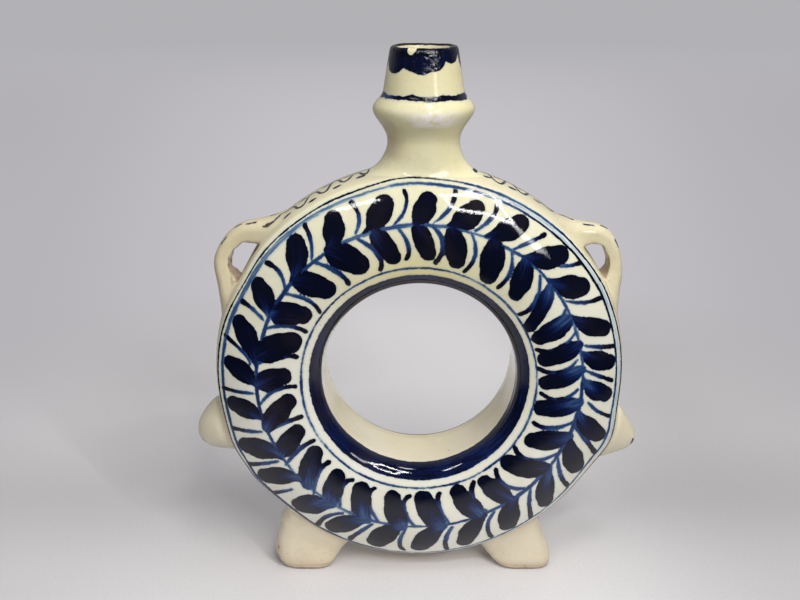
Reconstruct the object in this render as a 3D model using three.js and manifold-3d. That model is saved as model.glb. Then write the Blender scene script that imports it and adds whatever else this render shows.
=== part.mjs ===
// A ring flask of glazed earthenware: a hollow ring that stands on two feet, with a collared
// neck on top, a strap loop on each shoulder and a lug on each side. The ring is luted together
// from an outer wall, an inner wall and two domed face plates, and the other pieces are luted
// onto its outer wall.
//
// Millimetres, +Z up. The ring's axis is Y and its painted front looks along -Y.
// The origin is on the floor, midway between the feet.
import * as THREE from "three";
import { mergeVertices } from "three/addons/utils/BufferGeometryUtils.js";
import Module from "manifold-3d";

const wasm = await Module();
wasm.setup();

// Ring
const EDGE_RADIUS = 75; // corner where a face plate meets the outer wall
const WALL_WIDTH = 24; // outer wall, from its front corner to its rear corner
const WALL_BARREL = 1.7; // swell of the outer wall at its middle
const HOLE_RADIUS = 36; // hole through the ring
const CROWN_RADIUS = 53; // circle on which a face plate stands out furthest
const CROWN_RISE = 8; // crown ahead of the outer corner
const ROLL_DROP = 7.3; // crown back to where the plate has rolled over into the hole
const CLAY = 5; // thickness of the walls and plates
const LUTE = 0.3; // layer of slip between two pieces
const GROUND_GAP = 6.3; // floor to the lowest point of the outer wall

// Neck, with heights above the top of the ring
const NECK_SHIFT = 1.2; // neck axis to the right of the ring's centre
const BORE_RADIUS = 7.5;
const FLARE_RADIUS = 21.5; // root of the neck, along the ring
const WAIST_RADIUS = 13;
const WAIST_HEIGHT = 8.5;
const COLLAR_RADIUS = 18;
const COLLAR_HEIGHT = 20.2;
const MOUTH_RADIUS = 14.6; // foot of the tapered mouth
const MOUTH_HEIGHT = 25.3;
const RIM_RADIUS = 12;
const RIM_HEIGHT = 41.8;
const RIM_ROUND = 1.2;

// Strap loops, with the angle in degrees from the top of the ring
const EAR_ANGLE = 55.5; // middle of the loop
const EAR_ROOT = 39; // length along the outer wall
const EAR_HOLE = 13; // length of the hole along the outer wall
const EAR_OPENING = 6.6; // clear height between the wall and the strap
const EAR_THICKNESS = 5;
const EAR_WIDTH = 14;
const EAR_ROUND = 1.6; // rounded edges of the strap

// Side lugs
const LUG_ANGLE = 109;
const LUG_ROOT = 25; // length along the outer wall
const LUG_REACH = 13.6; // tip beyond the outer wall
const LUG_TIP_SHIFT = 2.4; // tip below the middle of the root
const LUG_WIDTH = 17;

// Feet, with the angle in degrees from the bottom of the ring
const FOOT_ANGLE = 28.5; // middle of the root
const FOOT_ROOT = 27; // length along the outer wall
const SOLE_LENGTH = 17;
const SOLE_SHIFT = 6; // middle of the sole outside the middle of the root
const FOOT_WIDTH = 22;

const SOLE_ROUND = 4; // rounded ends of a sole
const EDGE_ROUND = 1.6; // softened edges of the lugs and feet
const ROOT_SINK = 4; // how deep a root is drawn into the wall before it is cut to fit
const RING_SEGMENTS = 72;
const NECK_SEGMENTS = 48;

const wallRadius = EDGE_RADIUS + WALL_BARREL;
const wallHalf = WALL_WIDTH / 2;
const crownDepth = wallHalf + CROWN_RISE;
const holeHalf = crownDepth - ROLL_DROP;
const ringHeight = wallRadius + GROUND_GAP;
const radians = THREE.MathUtils.degToRad;

// A closed geometry as a solid
function solidOf(geometry) {
  const bare = new THREE.BufferGeometry();
  bare.setAttribute("position", geometry.getAttribute("position"));
  bare.setIndex(geometry.getIndex());
  const merged = mergeVertices(bare, 1e-3);
  return new wasm.Manifold(
    new wasm.Mesh({
      numProp: 3,
      vertProperties: new Float32Array(merged.getAttribute("position").array),
      triVerts: new Uint32Array(merged.getIndex().array),
    }),
  );
}

function geometryOf(solid) {
  const { vertProperties, triVerts } = solid.getMesh();
  const geometry = new THREE.BufferGeometry();
  geometry.setAttribute("position", new THREE.BufferAttribute(vertProperties, 3));
  geometry.setIndex(new THREE.BufferAttribute(triVerts, 1));
  geometry.computeVertexNormals();
  return geometry;
}

function cut(geometry, ...tools) {
  return geometryOf(tools.reduce((solid, tool) => solid.subtract(tool), solidOf(geometry)));
}

// A closed section of radius and height, turned about the Y axis
function turned(points, segments) {
  return new THREE.LatheGeometry([...points, points[0]], segments);
}

// The outside of a face plate from the hole to the outer corner, as radius and depth
function plateOutside(grow, divisions) {
  const across = EDGE_RADIUS - CROWN_RADIUS;
  const sweep = (across ** 2 + CROWN_RISE ** 2) / (2 * CROWN_RISE);
  const corner = Math.asin(across / sweep);
  const path = new THREE.Path();
  path.absellipse(
    CROWN_RADIUS,
    holeHalf,
    CROWN_RADIUS - HOLE_RADIUS + grow,
    ROLL_DROP + grow,
    Math.PI,
    Math.PI / 2,
    true,
  );
  path.absarc(CROWN_RADIUS, crownDepth - sweep, sweep + grow, Math.PI / 2, Math.PI / 2 - corner, true);
  return path.getPoints(divisions);
}

// The barrelled outside of the outer wall between two depths
function wallOutside(halfWidth, divisions) {
  const swell = (depth) => WALL_BARREL * (1 - (depth / wallHalf) ** 2);
  return Array.from({ length: divisions + 1 }, (_, i) => {
    const depth = halfWidth * (1 - (2 * i) / divisions);
    return new THREE.Vector2(EDGE_RADIUS + swell(depth), depth);
  });
}

// The whole ring without its hollow, grown by a layer of slip: what is luted on is cut to it
function ringEnvelope() {
  const front = plateOutside(LUTE, 4);
  const rear = front.map((p) => new THREE.Vector2(p.x, -p.y)).reverse();
  const outside = wallOutside(wallHalf, 6).map((p) => new THREE.Vector2(p.x + LUTE, p.y));
  const section = [...front.slice(0, -1), ...outside, ...rear.slice(1)];
  return solidOf(turned(section.reverse(), RING_SEGMENTS));
}

// The bore, long enough to pass through the wall of the ring and the neck
function boreTool() {
  const length = RIM_HEIGHT + 4 * CLAY;
  const bore = new THREE.CylinderGeometry(BORE_RADIUS, BORE_RADIUS, length, NECK_SEGMENTS);
  bore.rotateX(Math.PI / 2);
  bore.translate(NECK_SHIFT, 0, wallRadius - 2 * CLAY + length / 2);
  return solidOf(bore);
}

function outerWall() {
  const half = wallHalf - LUTE / 2;
  const inside = EDGE_RADIUS - CLAY;
  const section = [
    new THREE.Vector2(inside, -half),
    ...wallOutside(half, 6).reverse(),
    new THREE.Vector2(inside, half),
  ];
  return cut(turned(section, RING_SEGMENTS), boreTool());
}

function innerWall() {
  const half = holeHalf - LUTE / 2;
  const inside = HOLE_RADIUS + CLAY;
  const section = [
    new THREE.Vector2(HOLE_RADIUS, -half),
    new THREE.Vector2(inside, -half),
    new THREE.Vector2(inside, half),
    new THREE.Vector2(HOLE_RADIUS, half),
  ];
  return turned(section, RING_SEGMENTS);
}

// The rear plate. The front plate is the same piece turned round.
function facePlate() {
  const holeSeam = holeHalf + LUTE / 2;
  const wallSeam = wallHalf + LUTE / 2;
  const outside = plateOutside(0, 4);
  outside[0].y = holeSeam;
  outside.at(-1).y = wallSeam;
  const inside = new THREE.SplineCurve([
    new THREE.Vector2(EDGE_RADIUS - CLAY, wallSeam),
    new THREE.Vector2(CROWN_RADIUS, crownDepth - CLAY),
    new THREE.Vector2(HOLE_RADIUS + CLAY, holeSeam),
  ]);
  return turned([...outside, ...inside.getPoints(5)].reverse(), RING_SEGMENTS);
}

// The neck is turned, then its root is narrowed to the width of the wall that it sits on
function neck() {
  const root = -ROOT_SINK - FLARE_RADIUS ** 2 / (2 * wallRadius);
  const outline = new THREE.Path();
  outline.moveTo(BORE_RADIUS, root);
  outline.lineTo(FLARE_RADIUS, root);
  outline.lineTo(FLARE_RADIUS, root + ROOT_SINK);
  outline.quadraticCurveTo(WAIST_RADIUS, 0, WAIST_RADIUS, WAIST_HEIGHT);
  outline.bezierCurveTo(
    WAIST_RADIUS,
    (WAIST_HEIGHT + COLLAR_HEIGHT) / 2,
    COLLAR_RADIUS,
    (WAIST_HEIGHT + 3 * COLLAR_HEIGHT) / 4,
    COLLAR_RADIUS,
    COLLAR_HEIGHT,
  );
  outline.quadraticCurveTo(COLLAR_RADIUS, (COLLAR_HEIGHT + MOUTH_HEIGHT) / 2, MOUTH_RADIUS, MOUTH_HEIGHT);
  outline.lineTo(RIM_RADIUS, RIM_HEIGHT - RIM_ROUND);
  outline.quadraticCurveTo(RIM_RADIUS, RIM_HEIGHT, RIM_RADIUS - RIM_ROUND, RIM_HEIGHT);
  outline.lineTo(BORE_RADIUS, RIM_HEIGHT);
  const body = turned(outline.getPoints(5), NECK_SEGMENTS);
  const position = body.getAttribute("position");
  for (let i = 0; i < position.count; i += 1) {
    const height = position.getY(i);
    const radius = Math.hypot(position.getX(i), position.getZ(i));
    const rise = THREE.MathUtils.clamp(height / WAIST_HEIGHT, 0, 1);
    const narrowed = THREE.MathUtils.lerp(wallHalf, WAIST_RADIUS, rise);
    const squeeze = height < WAIST_HEIGHT && radius > narrowed ? narrowed / radius : 1;
    position.setZ(i, position.getZ(i) * squeeze);
  }
  body.rotateX(Math.PI / 2);
  body.translate(NECK_SHIFT, 0, wallRadius);
  return cut(body, ringEnvelope());
}

// An outline across the ring's axis, made into a block with rounded edges
function block(outline, width, rounding) {
  const made = new THREE.ExtrudeGeometry(outline, {
    depth: width - 2 * rounding,
    bevelSize: rounding,
    bevelOffset: -rounding,
    bevelThickness: rounding,
    bevelSegments: 2,
    curveSegments: 8,
  });
  made.translate(0, 0, rounding - width / 2);
  return made.rotateX(Math.PI / 2);
}

// A strap that leaves the wall, arches over its hole and comes back, its middle on the Z axis
function ear() {
  const half = EAR_ROOT / 2;
  const handle = EAR_ROOT / 3;
  const base = Math.sqrt(wallRadius ** 2 - half ** 2) - ROOT_SINK;
  const top = wallRadius + EAR_OPENING + EAR_THICKNESS;
  const outline = new THREE.Shape();
  outline.moveTo(half, base - ROOT_SINK);
  outline.lineTo(half, base);
  outline.bezierCurveTo(handle, wallRadius, handle, top, 0, top);
  outline.bezierCurveTo(-handle, top, -handle, wallRadius, -half, base);
  outline.lineTo(-half, base - ROOT_SINK);
  const side = EAR_HOLE / 2;
  const arch = wallRadius + (4 * EAR_OPENING) / 3;
  const hole = new THREE.Path();
  hole.moveTo(-side, wallRadius);
  hole.lineTo(side, wallRadius);
  hole.bezierCurveTo(side, arch, -side, arch, -side, wallRadius);
  outline.holes.push(hole);
  return cut(block(outline, EAR_WIDTH, EAR_ROUND), ringEnvelope());
}

// A fin with a long upper side and a short lower side, its middle on the Z axis
function lug() {
  const half = LUG_ROOT / 2;
  const base = wallRadius - ROOT_SINK;
  const tip = wallRadius + LUG_REACH;
  const outline = new THREE.Shape();
  outline.moveTo(-half, base);
  outline.quadraticCurveTo(-half * 0.5, tip - 1, LUG_TIP_SHIFT - 1, tip);
  outline.quadraticCurveTo(half * 0.5, tip, half * 0.6, tip - LUG_REACH / 3);
  outline.lineTo(half, base);
  return cut(block(outline, LUG_WIDTH, EDGE_ROUND), ringEnvelope());
}

// The right foot: an upright outer side, a flat sole and an inner side that slopes up to the ring
function foot() {
  const middle = radians(FOOT_ANGLE);
  const half = FOOT_ROOT / 2 / wallRadius;
  const rootRadius = wallRadius - ROOT_SINK;
  const onRoot = (angle) => new THREE.Vector2(rootRadius * Math.sin(angle), -rootRadius * Math.cos(angle));
  const inner = onRoot(middle - half);
  const outer = onRoot(middle + half);
  const soleMiddle = wallRadius * Math.sin(middle) + SOLE_SHIFT;
  const soleInner = soleMiddle - SOLE_LENGTH / 2;
  const soleOuter = soleMiddle + SOLE_LENGTH / 2;
  const floor = -ringHeight;
  const outline = new THREE.Shape();
  outline.moveTo(inner.x, inner.y);
  outline.lineTo(soleInner, floor);
  outline.lineTo(soleOuter - SOLE_ROUND, floor);
  outline.quadraticCurveTo(soleOuter, floor, soleOuter, floor + SOLE_ROUND);
  outline.lineTo(outer.x, outer.y);
  return cut(block(outline, FOOT_WIDTH, EDGE_ROUND), ringEnvelope());
}

const IVORY = 0xe4d9b4; // glazed slip on the thrown pieces
const PALE_IVORY = 0xe0d3b2; // thinner glaze on the pieces shaped by hand

function piece(name, geometry, colour = IVORY) {
  const glaze = new THREE.MeshStandardMaterial({ color: colour, roughness: 0.18, metalness: 0 });
  const mesh = new THREE.Mesh(geometry, glaze);
  mesh.name = name;
  return mesh;
}

// Turns a piece about the ring's axis: a positive angle is to the right of the top, from the front
function swung(mesh, degrees) {
  const arm = new THREE.Group();
  arm.rotation.y = radians(degrees);
  arm.add(mesh);
  return arm;
}

// The same piece on the other side of the ring
function opposite(object) {
  const turn = new THREE.Group();
  turn.rotation.z = Math.PI;
  turn.add(object);
  return turn;
}

const ring = new THREE.Group();
ring.position.z = ringHeight;
ring.add(piece("outer_wall", outerWall()));
ring.add(piece("inner_wall", innerWall()));
ring.add(piece("rear_face", facePlate()));
ring.add(opposite(piece("front_face", facePlate())));
ring.add(piece("neck", neck()));
ring.add(swung(piece("ear_right", ear(), PALE_IVORY), EAR_ANGLE));
ring.add(opposite(swung(piece("ear_left", ear(), PALE_IVORY), EAR_ANGLE)));
ring.add(swung(piece("lug_right", lug(), PALE_IVORY), LUG_ANGLE));
ring.add(opposite(swung(piece("lug_left", lug(), PALE_IVORY), LUG_ANGLE)));
ring.add(piece("foot_right", foot(), PALE_IVORY));
ring.add(opposite(piece("foot_left", foot(), PALE_IVORY)));

const flask = new THREE.Group();
flask.add(ring);

export default flask;
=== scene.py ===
"""Looks of the ring flask: ivory glaze with a dark blue leaf garland, on a pale floor.

Shapes are worked out in millimetres and stored in metres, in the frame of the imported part: +Z up,
the ring's axis along Y and the painted front towards -Y. Angles round the ring are in degrees,
clockwise from the top as seen from the front.
"""
import math

import bmesh
import bpy
import numpy as np
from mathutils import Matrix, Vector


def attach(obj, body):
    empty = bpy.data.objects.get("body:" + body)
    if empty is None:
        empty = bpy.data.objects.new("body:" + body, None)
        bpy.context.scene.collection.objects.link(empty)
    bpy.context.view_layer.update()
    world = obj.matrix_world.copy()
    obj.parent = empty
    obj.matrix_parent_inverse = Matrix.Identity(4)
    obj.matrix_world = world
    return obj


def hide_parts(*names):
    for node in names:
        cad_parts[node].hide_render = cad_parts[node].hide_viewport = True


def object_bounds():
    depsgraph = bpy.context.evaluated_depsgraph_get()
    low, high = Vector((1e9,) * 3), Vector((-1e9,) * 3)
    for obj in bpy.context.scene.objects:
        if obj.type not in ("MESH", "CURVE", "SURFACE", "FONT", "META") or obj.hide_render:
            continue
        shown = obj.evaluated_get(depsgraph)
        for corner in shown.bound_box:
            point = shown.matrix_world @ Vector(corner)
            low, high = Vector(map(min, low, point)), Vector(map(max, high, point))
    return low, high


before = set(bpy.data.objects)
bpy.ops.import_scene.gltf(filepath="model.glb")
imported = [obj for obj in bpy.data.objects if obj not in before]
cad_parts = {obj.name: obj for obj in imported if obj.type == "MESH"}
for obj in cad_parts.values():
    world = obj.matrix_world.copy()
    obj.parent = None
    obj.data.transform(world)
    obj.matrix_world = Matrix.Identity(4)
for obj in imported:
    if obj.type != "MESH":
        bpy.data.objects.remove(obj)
cad_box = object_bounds()

MM = 0.001
BOX_LOW = np.array(cad_box[0]) / MM
BOX_HIGH = np.array(cad_box[1]) / MM

# The ring
RING_Z = 83.0  # height of its middle
EDGE_R = 75.0  # outer edge of a face
WALL_HALF = 12.0  # half depth of the outer wall at that edge
BARREL = 1.7  # how far the outer wall swells
MIDDLE_R = EDGE_R + BARREL
HOLE_R = 36.0
HOLE_HALF = 12.7  # half depth of the inner wall
CROWN_R = 53.0  # where a face stands out most
CROWN_Y = 20.0
CLAY = 5.0  # thickness of the walls
SKIRT_LIFT = 0.03  # how far the skirt of a piece on the wall lies over it
COLUMNS = 720  # points round the ring
DEGREES = np.arange(COLUMNS) * 360.0 / COLUMNS

# Its section
ARC_STEPS = 120
SECTION_STEP = 0.1
ROUNDING = 9.0  # how far its corners are rounded, in steps
ROUNDING_REACH = 25
SLOPE_START = 25  # from here on a face slopes back to its outer edge

# How uneven the clay is
WALL_LUMPS = 0.12
FACE_LUMPS = 0.2
NECK_LUMPS = 0.26
HAND_LUMPS = 0.3

FULL_TURN = 6.28
rng = np.random.default_rng(26)


def wrap(deg):
    return (np.asarray(deg) + 180.0) % 360.0 - 180.0


def smooth(low, high, x):
    t = np.clip((np.asarray(x, float) - low) / (high - low), 0.0, 1.0)
    return t * t * (3 - 2 * t)


def hump(deg, at, spread):
    """A rounded bump of height 1 at an angle."""
    return np.exp(-((wrap(np.asarray(deg) - at) / spread) ** 2))


# Slow unevenness of clay shaped by hand, as a sum of waves in space
WAVE_COUNT = 14
WAVE_LENGTHS = (9, 30)  # shortest and longest
LUMP_SCALE = 6  # divides the sum, so that it stays within about 1
WAVES = []
for _ in range(WAVE_COUNT):
    WAVES.append((rng.normal(size=3), rng.uniform(*WAVE_LENGTHS), rng.uniform(0, FULL_TURN)))


def lumps(points):
    total = np.zeros(len(points))
    for way, length, phase in WAVES:
        way = way / np.linalg.norm(way)
        total += np.sin(points @ way * (2 * math.pi / length) + phase) * length / WAVE_LENGTHS[1]
    return total / LUMP_SCALE


# Where the rim of the ring is drawn out or in: angle, spread, height
EDGE_BUMPS = [
    (110, 8, 2.2), (247, 7, 1.0), (236, 5, 0.7), (222, 9, -0.6),
    (62, 8, 0.3), (299, 9, -1.0), (180, 20, 0.3),
]


def edge_bulge(deg):
    return sum(height * hump(deg, at, spread) for at, spread, height in EDGE_BUMPS)


def half_section():
    """Section of the front half of the ring, from the hole over the face to the middle of the wall:
    distances along it, its points as radius and Y, and the distance at the outer corner."""
    points = []
    for t in np.linspace(0, math.pi / 2, ARC_STEPS):
        radius = CROWN_R - (CROWN_R - HOLE_R) * math.cos(t)
        points.append((radius, -HOLE_HALF - (CROWN_Y - HOLE_HALF) * math.sin(t)))
    across, rise = EDGE_R - CROWN_R, CROWN_Y - WALL_HALF
    sweep = (across**2 + rise**2) / (2 * rise)
    for t in np.linspace(0, math.asin(across / sweep), ARC_STEPS)[1:]:
        points.append((CROWN_R + sweep * math.sin(t), -(CROWN_Y - sweep) - sweep * math.cos(t)))
    corner = len(points) - 1
    for y in np.linspace(-WALL_HALF, 0, ARC_STEPS // 2)[1:]:
        points.append((EDGE_R + BARREL * (1 - (y / WALL_HALF) ** 2), y))
    points = np.array(points)
    length = np.r_[0, np.cumsum(np.hypot(*np.diff(points, axis=0).T))]
    even = np.arange(0, length[-1], SECTION_STEP)
    curve = np.stack([np.interp(even, length, points[:, k]) for k in (0, 1)], 1)
    kernel = np.exp(-((np.arange(-ROUNDING_REACH, ROUNDING_REACH + 1) / ROUNDING) ** 2))
    kernel /= kernel.sum()
    margin = (ROUNDING_REACH, ROUNDING_REACH)
    padded = np.pad(curve, (margin, (0, 0)), mode="reflect", reflect_type="odd")
    soft = np.stack([np.convolve(padded[:, k], kernel, "valid") for k in (0, 1)], 1)
    return even, soft, length[corner]


SECTION_S, SECTION, CORNER_S = half_section()
WALL_PART = SECTION_S >= CORNER_S
SLOPE_PART = (SECTION_S > SLOPE_START) & (SECTION_S <= CORNER_S)
CORNER_Y = float(np.interp(CORNER_S, SECTION_S, SECTION[:, 1]))


def face_r(s):
    return np.interp(s, SECTION_S, SECTION[:, 0])


def face_y(s):
    return np.interp(s, SECTION_S, SECTION[:, 1])


# Hollows in the wall where the holes of the ears were cut: angle, half length in degrees, depth
HOLLOWS = [(-56.5, 6.0, 2.6), (56.9, 5.0, 1.8)]
HOLLOW_SOFT = 1.2  # softness of their ends, in degrees
HOLLOW_FRONT = (-8.8, -5.8)  # where they begin and where they reach their depth, in Y
HOLLOW_BACK = (7.4, 4.4)


def hollowed(deg, y, depths=True):
    """Depth of the hollows at places on the wall, or how far inside a hollow they are, from 0 to 1."""
    total = 0.0
    for at, half, depth in HOLLOWS:
        inside = smooth(half + HOLLOW_SOFT, half - HOLLOW_SOFT, np.abs(wrap(np.asarray(deg) - at)))
        inside = inside * smooth(*HOLLOW_FRONT, y) * smooth(*HOLLOW_BACK, y)
        total = total + inside * (depth if depths else 1.0)
    return total


def on_ring(deg, radius, y):
    """Points in space from an angle round the ring, a distance from its axis and Y."""
    angle = np.radians(deg)
    return np.stack(np.broadcast_arrays(radius * np.sin(angle), y, RING_Z + radius * np.cos(angle)), -1)


def ring_place(points):
    """Angle round the ring, distance from its axis and Y of points in space."""
    x, y, z = points[:, 0], points[:, 1], points[:, 2] - RING_Z
    return np.degrees(np.arctan2(x, z)), np.hypot(x, z), y


def wall_r(deg, y):
    """Radius of the outer wall, with its bulges, hollows and lumps."""
    base = np.interp(-np.abs(y), SECTION[WALL_PART, 1], SECTION[WALL_PART, 0])
    base = base + edge_bulge(deg)
    points = on_ring(deg, base, np.asarray(y, float)).reshape(-1, 3)
    fade = smooth(WALL_HALF, WALL_HALF - 3, np.abs(y))
    return base - hollowed(deg, y) + WALL_LUMPS * fade * lumps(points).reshape(base.shape)


def ring_r(deg, y):
    """Radius of the outside of the ring, on its wall or, further out in Y, on the slope of a face."""
    depth, radius = -SECTION[SLOPE_PART, 1][::-1], SECTION[SLOPE_PART, 0][::-1]
    sloped = np.interp(np.abs(y), depth, radius) + edge_bulge(deg)
    return np.where(np.abs(y) < -CORNER_Y, wall_r(deg, np.clip(y, CORNER_Y, -CORNER_Y)), sloped)


def height_over_wall(points):
    deg, radius, y = ring_place(points)
    return radius - wall_r(deg, np.clip(y, -WALL_HALF, WALL_HALF))


PAINT_KEYS = ("ink", "tone", "wear_and_shade", "crinkle", "pool", "crust_and_highlight")
NO_INK = -9.0
SMOOTH_GLAZE = 0.06
STROKE_SHIFT = 7.3  # how far the grain of the brush shifts from stroke to stroke
EDGE_SHIFT = 9.0  # and the wobble of its edge
WOBBLE_SCALE = 3.2
GLEAM_WIDTH = 2.0
THINNEST = 0.47


class Paint:
    """What is on the points of one piece.

    ink: distance into a stroke in mm, tone: its strength, brush: place across and along the stroke,
    wear_and_shade: glaze gone to the clay and brown painted shade in hollows, crinkle: roughness,
    pool: yellow glaze, crust_and_highlight: white crust with a painted highlight.
    """

    def __init__(self, count):
        self.ink = np.full(count, NO_INK)
        self.tone = np.zeros(count)
        self.wear_and_shade = np.zeros(count)
        self.brush = np.zeros((count, 3))
        self.crinkle = np.full(count, SMOOTH_GLAZE)
        self.pool = np.zeros(count)
        self.crust_and_highlight = np.zeros(count)
        self.strokes = 0

    def take(self, other, where):
        """Copies the ink of another paint to the points at where."""
        for key in ("ink", "tone", "brush"):
            getattr(self, key)[where] = getattr(other, key)

    def keep(self, used):
        """Keeps only the points in used."""
        for key in (*PAINT_KEYS, "brush"):
            setattr(self, key, getattr(self, key)[used])

    def put(self, where, depth, tone, lateral, along):
        """Lays ink on the points at where, wherever it is deeper than what is there."""
        better = depth > self.ink[where]
        chosen = where[better]
        self.ink[chosen] = depth[better]
        self.tone[chosen] = tone[better]
        shift = np.full(better.sum(), STROKE_SHIFT * self.strokes)
        self.brush[chosen] = np.stack([lateral[better], along[better], shift], 1)

    def stroke(self, chart, radii, tones, gleam=0.0, lean=0.0, wobble=0.0):
        """Paints along the samples of a chart. Gleam thins the ink in a streak, lean mm beside the
        middle, and the outline wanders by about the wobble."""
        self.strokes += 1
        near = chart.near
        if not len(near):
            return
        du, dv = chart.to_samples(near)
        depth = radii[None, :] - np.hypot(du, dv)
        best = depth.argmax(1)
        rows = np.arange(len(near))
        way_u, way_v = chart.ways()
        lateral = du[rows, best] * -way_v[best] + dv[rows, best] * way_u[best]
        along = chart.lengths()[best]
        thin = gleam * np.exp(-(((lateral - lean) / GLEAM_WIDTH) ** 2))
        thin = thin * (1 - smooth(0.35, 1.0, best / len(radii)))
        shift = np.full(len(near), EDGE_SHIFT * self.strokes)
        edge = wobble * lumps(np.stack([lateral, along, shift], 1) * WOBBLE_SCALE)
        tone = np.maximum(tones[best] - thin, THINNEST)
        self.put(near, depth[rows, best] + edge, tone, lateral, along)


class Chart:
    """Flat distances round a stroke: u along an angle at a given radius, v across it."""

    def __init__(self, deg, v, radius, samples_deg, samples_v, reach):
        self.deg, self.v, self.radius = deg, v, radius
        self.sd, self.sv = np.asarray(samples_deg, float), np.asarray(samples_v, float)
        middle, spread = self.sd.mean(), np.ptp(self.sd) / 2
        close = np.abs(wrap(deg - middle)) < spread + np.degrees(reach / radius)
        close &= (v > self.sv.min() - reach) & (v < self.sv.max() + reach)
        self.near = np.flatnonzero(close)

    def to_samples(self, near):
        du = np.radians(wrap(self.deg[near, None] - self.sd[None, :])) * self.radius[near, None]
        return du, self.v[near, None] - self.sv[None, :]

    def steps(self):
        scale = np.radians(1.0) * float(np.median(self.radius[self.near]))
        return np.gradient(self.sd) * scale, np.gradient(self.sv)

    def ways(self):
        du, dv = self.steps()
        size = np.hypot(du, dv) + 1e-9
        return du / size, dv / size

    def lengths(self):
        return np.cumsum(np.hypot(*self.steps()))


def bend(a, b, c, count):
    """Points on a curve that starts at a, is drawn towards b and ends at c."""
    a, b, c = (np.array(p, float) for p in (a, b, c))
    t = np.linspace(0, 1, count)[:, None]
    return (1 - t) ** 2 * a + 2 * t * (1 - t) * b + t**2 * c


def through(a, b, c, count):
    """Points on a curve through a, b and c."""
    a, b, c = (np.array(p, float) for p in (a, b, c))
    return bend(a, 2 * b - (a + c) / 2, c, count)


# One row for each pair of leaves on the garland, as angle and distance from the edge of the hole.
# Outer leaf: foot, tip, height of tip, half width. Inner leaf: the same.
LEAVES = [
    (-2.5, 2.2, 38.0, 4.0, -1.5, 3.2, 13.0, 3.4),
    (9.0, 16.5, 38.0, 4.3, 10.5, 15.5, 11.5, 3.8),
    (22.5, 30.5, 39.6, 4.1, 25.5, 30.5, 10.8, 4.2),
    (36.5, 46.0, 39.6, 4.3, 38.5, 44.8, 11.7, 3.7),
    (49.0, 58.0, 38.8, 4.4, 51.0, 60.8, 9.4, 2.9),
    (64.5, 73.5, 40.2, 3.8, 65.0, 68.2, 10.2, 3.9),
    (78.5, 84.4, 40.4, 4.0, 75.5, 78.8, 10.2, 3.7),
    (88.5, 95.0, 39.6, 3.9, 85.0, 90.0, 9.8, 3.8),
    (101.0, 108.5, 40.2, 4.2, 97.5, 102.8, 9.5, 4.0),
    (111.0, 121.0, 40.2, 4.3, 111.5, 118.6, 11.2, 4.2),
    (125.0, 136.0, 41.0, 4.3, 126.0, 134.0, 10.0, 4.4),
    (142.5, 150.2, 41.0, 4.6, 144.5, 148.3, 10.9, 3.8),
    (155.5, 165.0, 41.2, 4.2, 157.0, 161.8, 10.4, 4.1),
    (171.0, 179.3, 41.2, 4.4, 172.5, 178.0, 10.6, 4.2),
    (187.0, 193.5, 41.4, 4.6, 186.5, 192.0, 11.6, 4.0),
    (199.0, 208.0, 41.4, 4.3, 201.0, 206.8, 11.8, 3.8),
    (213.5, 220.8, 41.4, 4.7, 214.5, 219.2, 12.5, 3.7),
    (229.3, 235.5, 41.2, 4.2, 225.3, 234.2, 11.8, 3.8),
    (239.5, 247.3, 41.0, 4.3, 241.0, 246.6, 12.7, 3.6),
    (256.0, 261.8, 40.4, 3.8, 252.5, 261.0, 12.2, 3.9),
    (268.5, 275.3, 40.4, 3.9, 269.5, 273.0, 13.3, 4.0),
    (276.0, 288.7, 39.8, 4.0, 280.5, 288.6, 11.8, 4.9),
    (294.8, 302.0, 39.4, 4.0, 297.0, 302.0, 12.8, 4.1),
    (310.8, 319.6, 38.9, 4.0, 311.5, 317.0, 12.0, 4.2),
    (326.5, 333.2, 38.4, 3.7, 327.5, 334.0, 12.8, 4.6),
    (340.5, 349.0, 38.2, 4.0, 344.0, 348.3, 12.6, 3.5),
]
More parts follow.
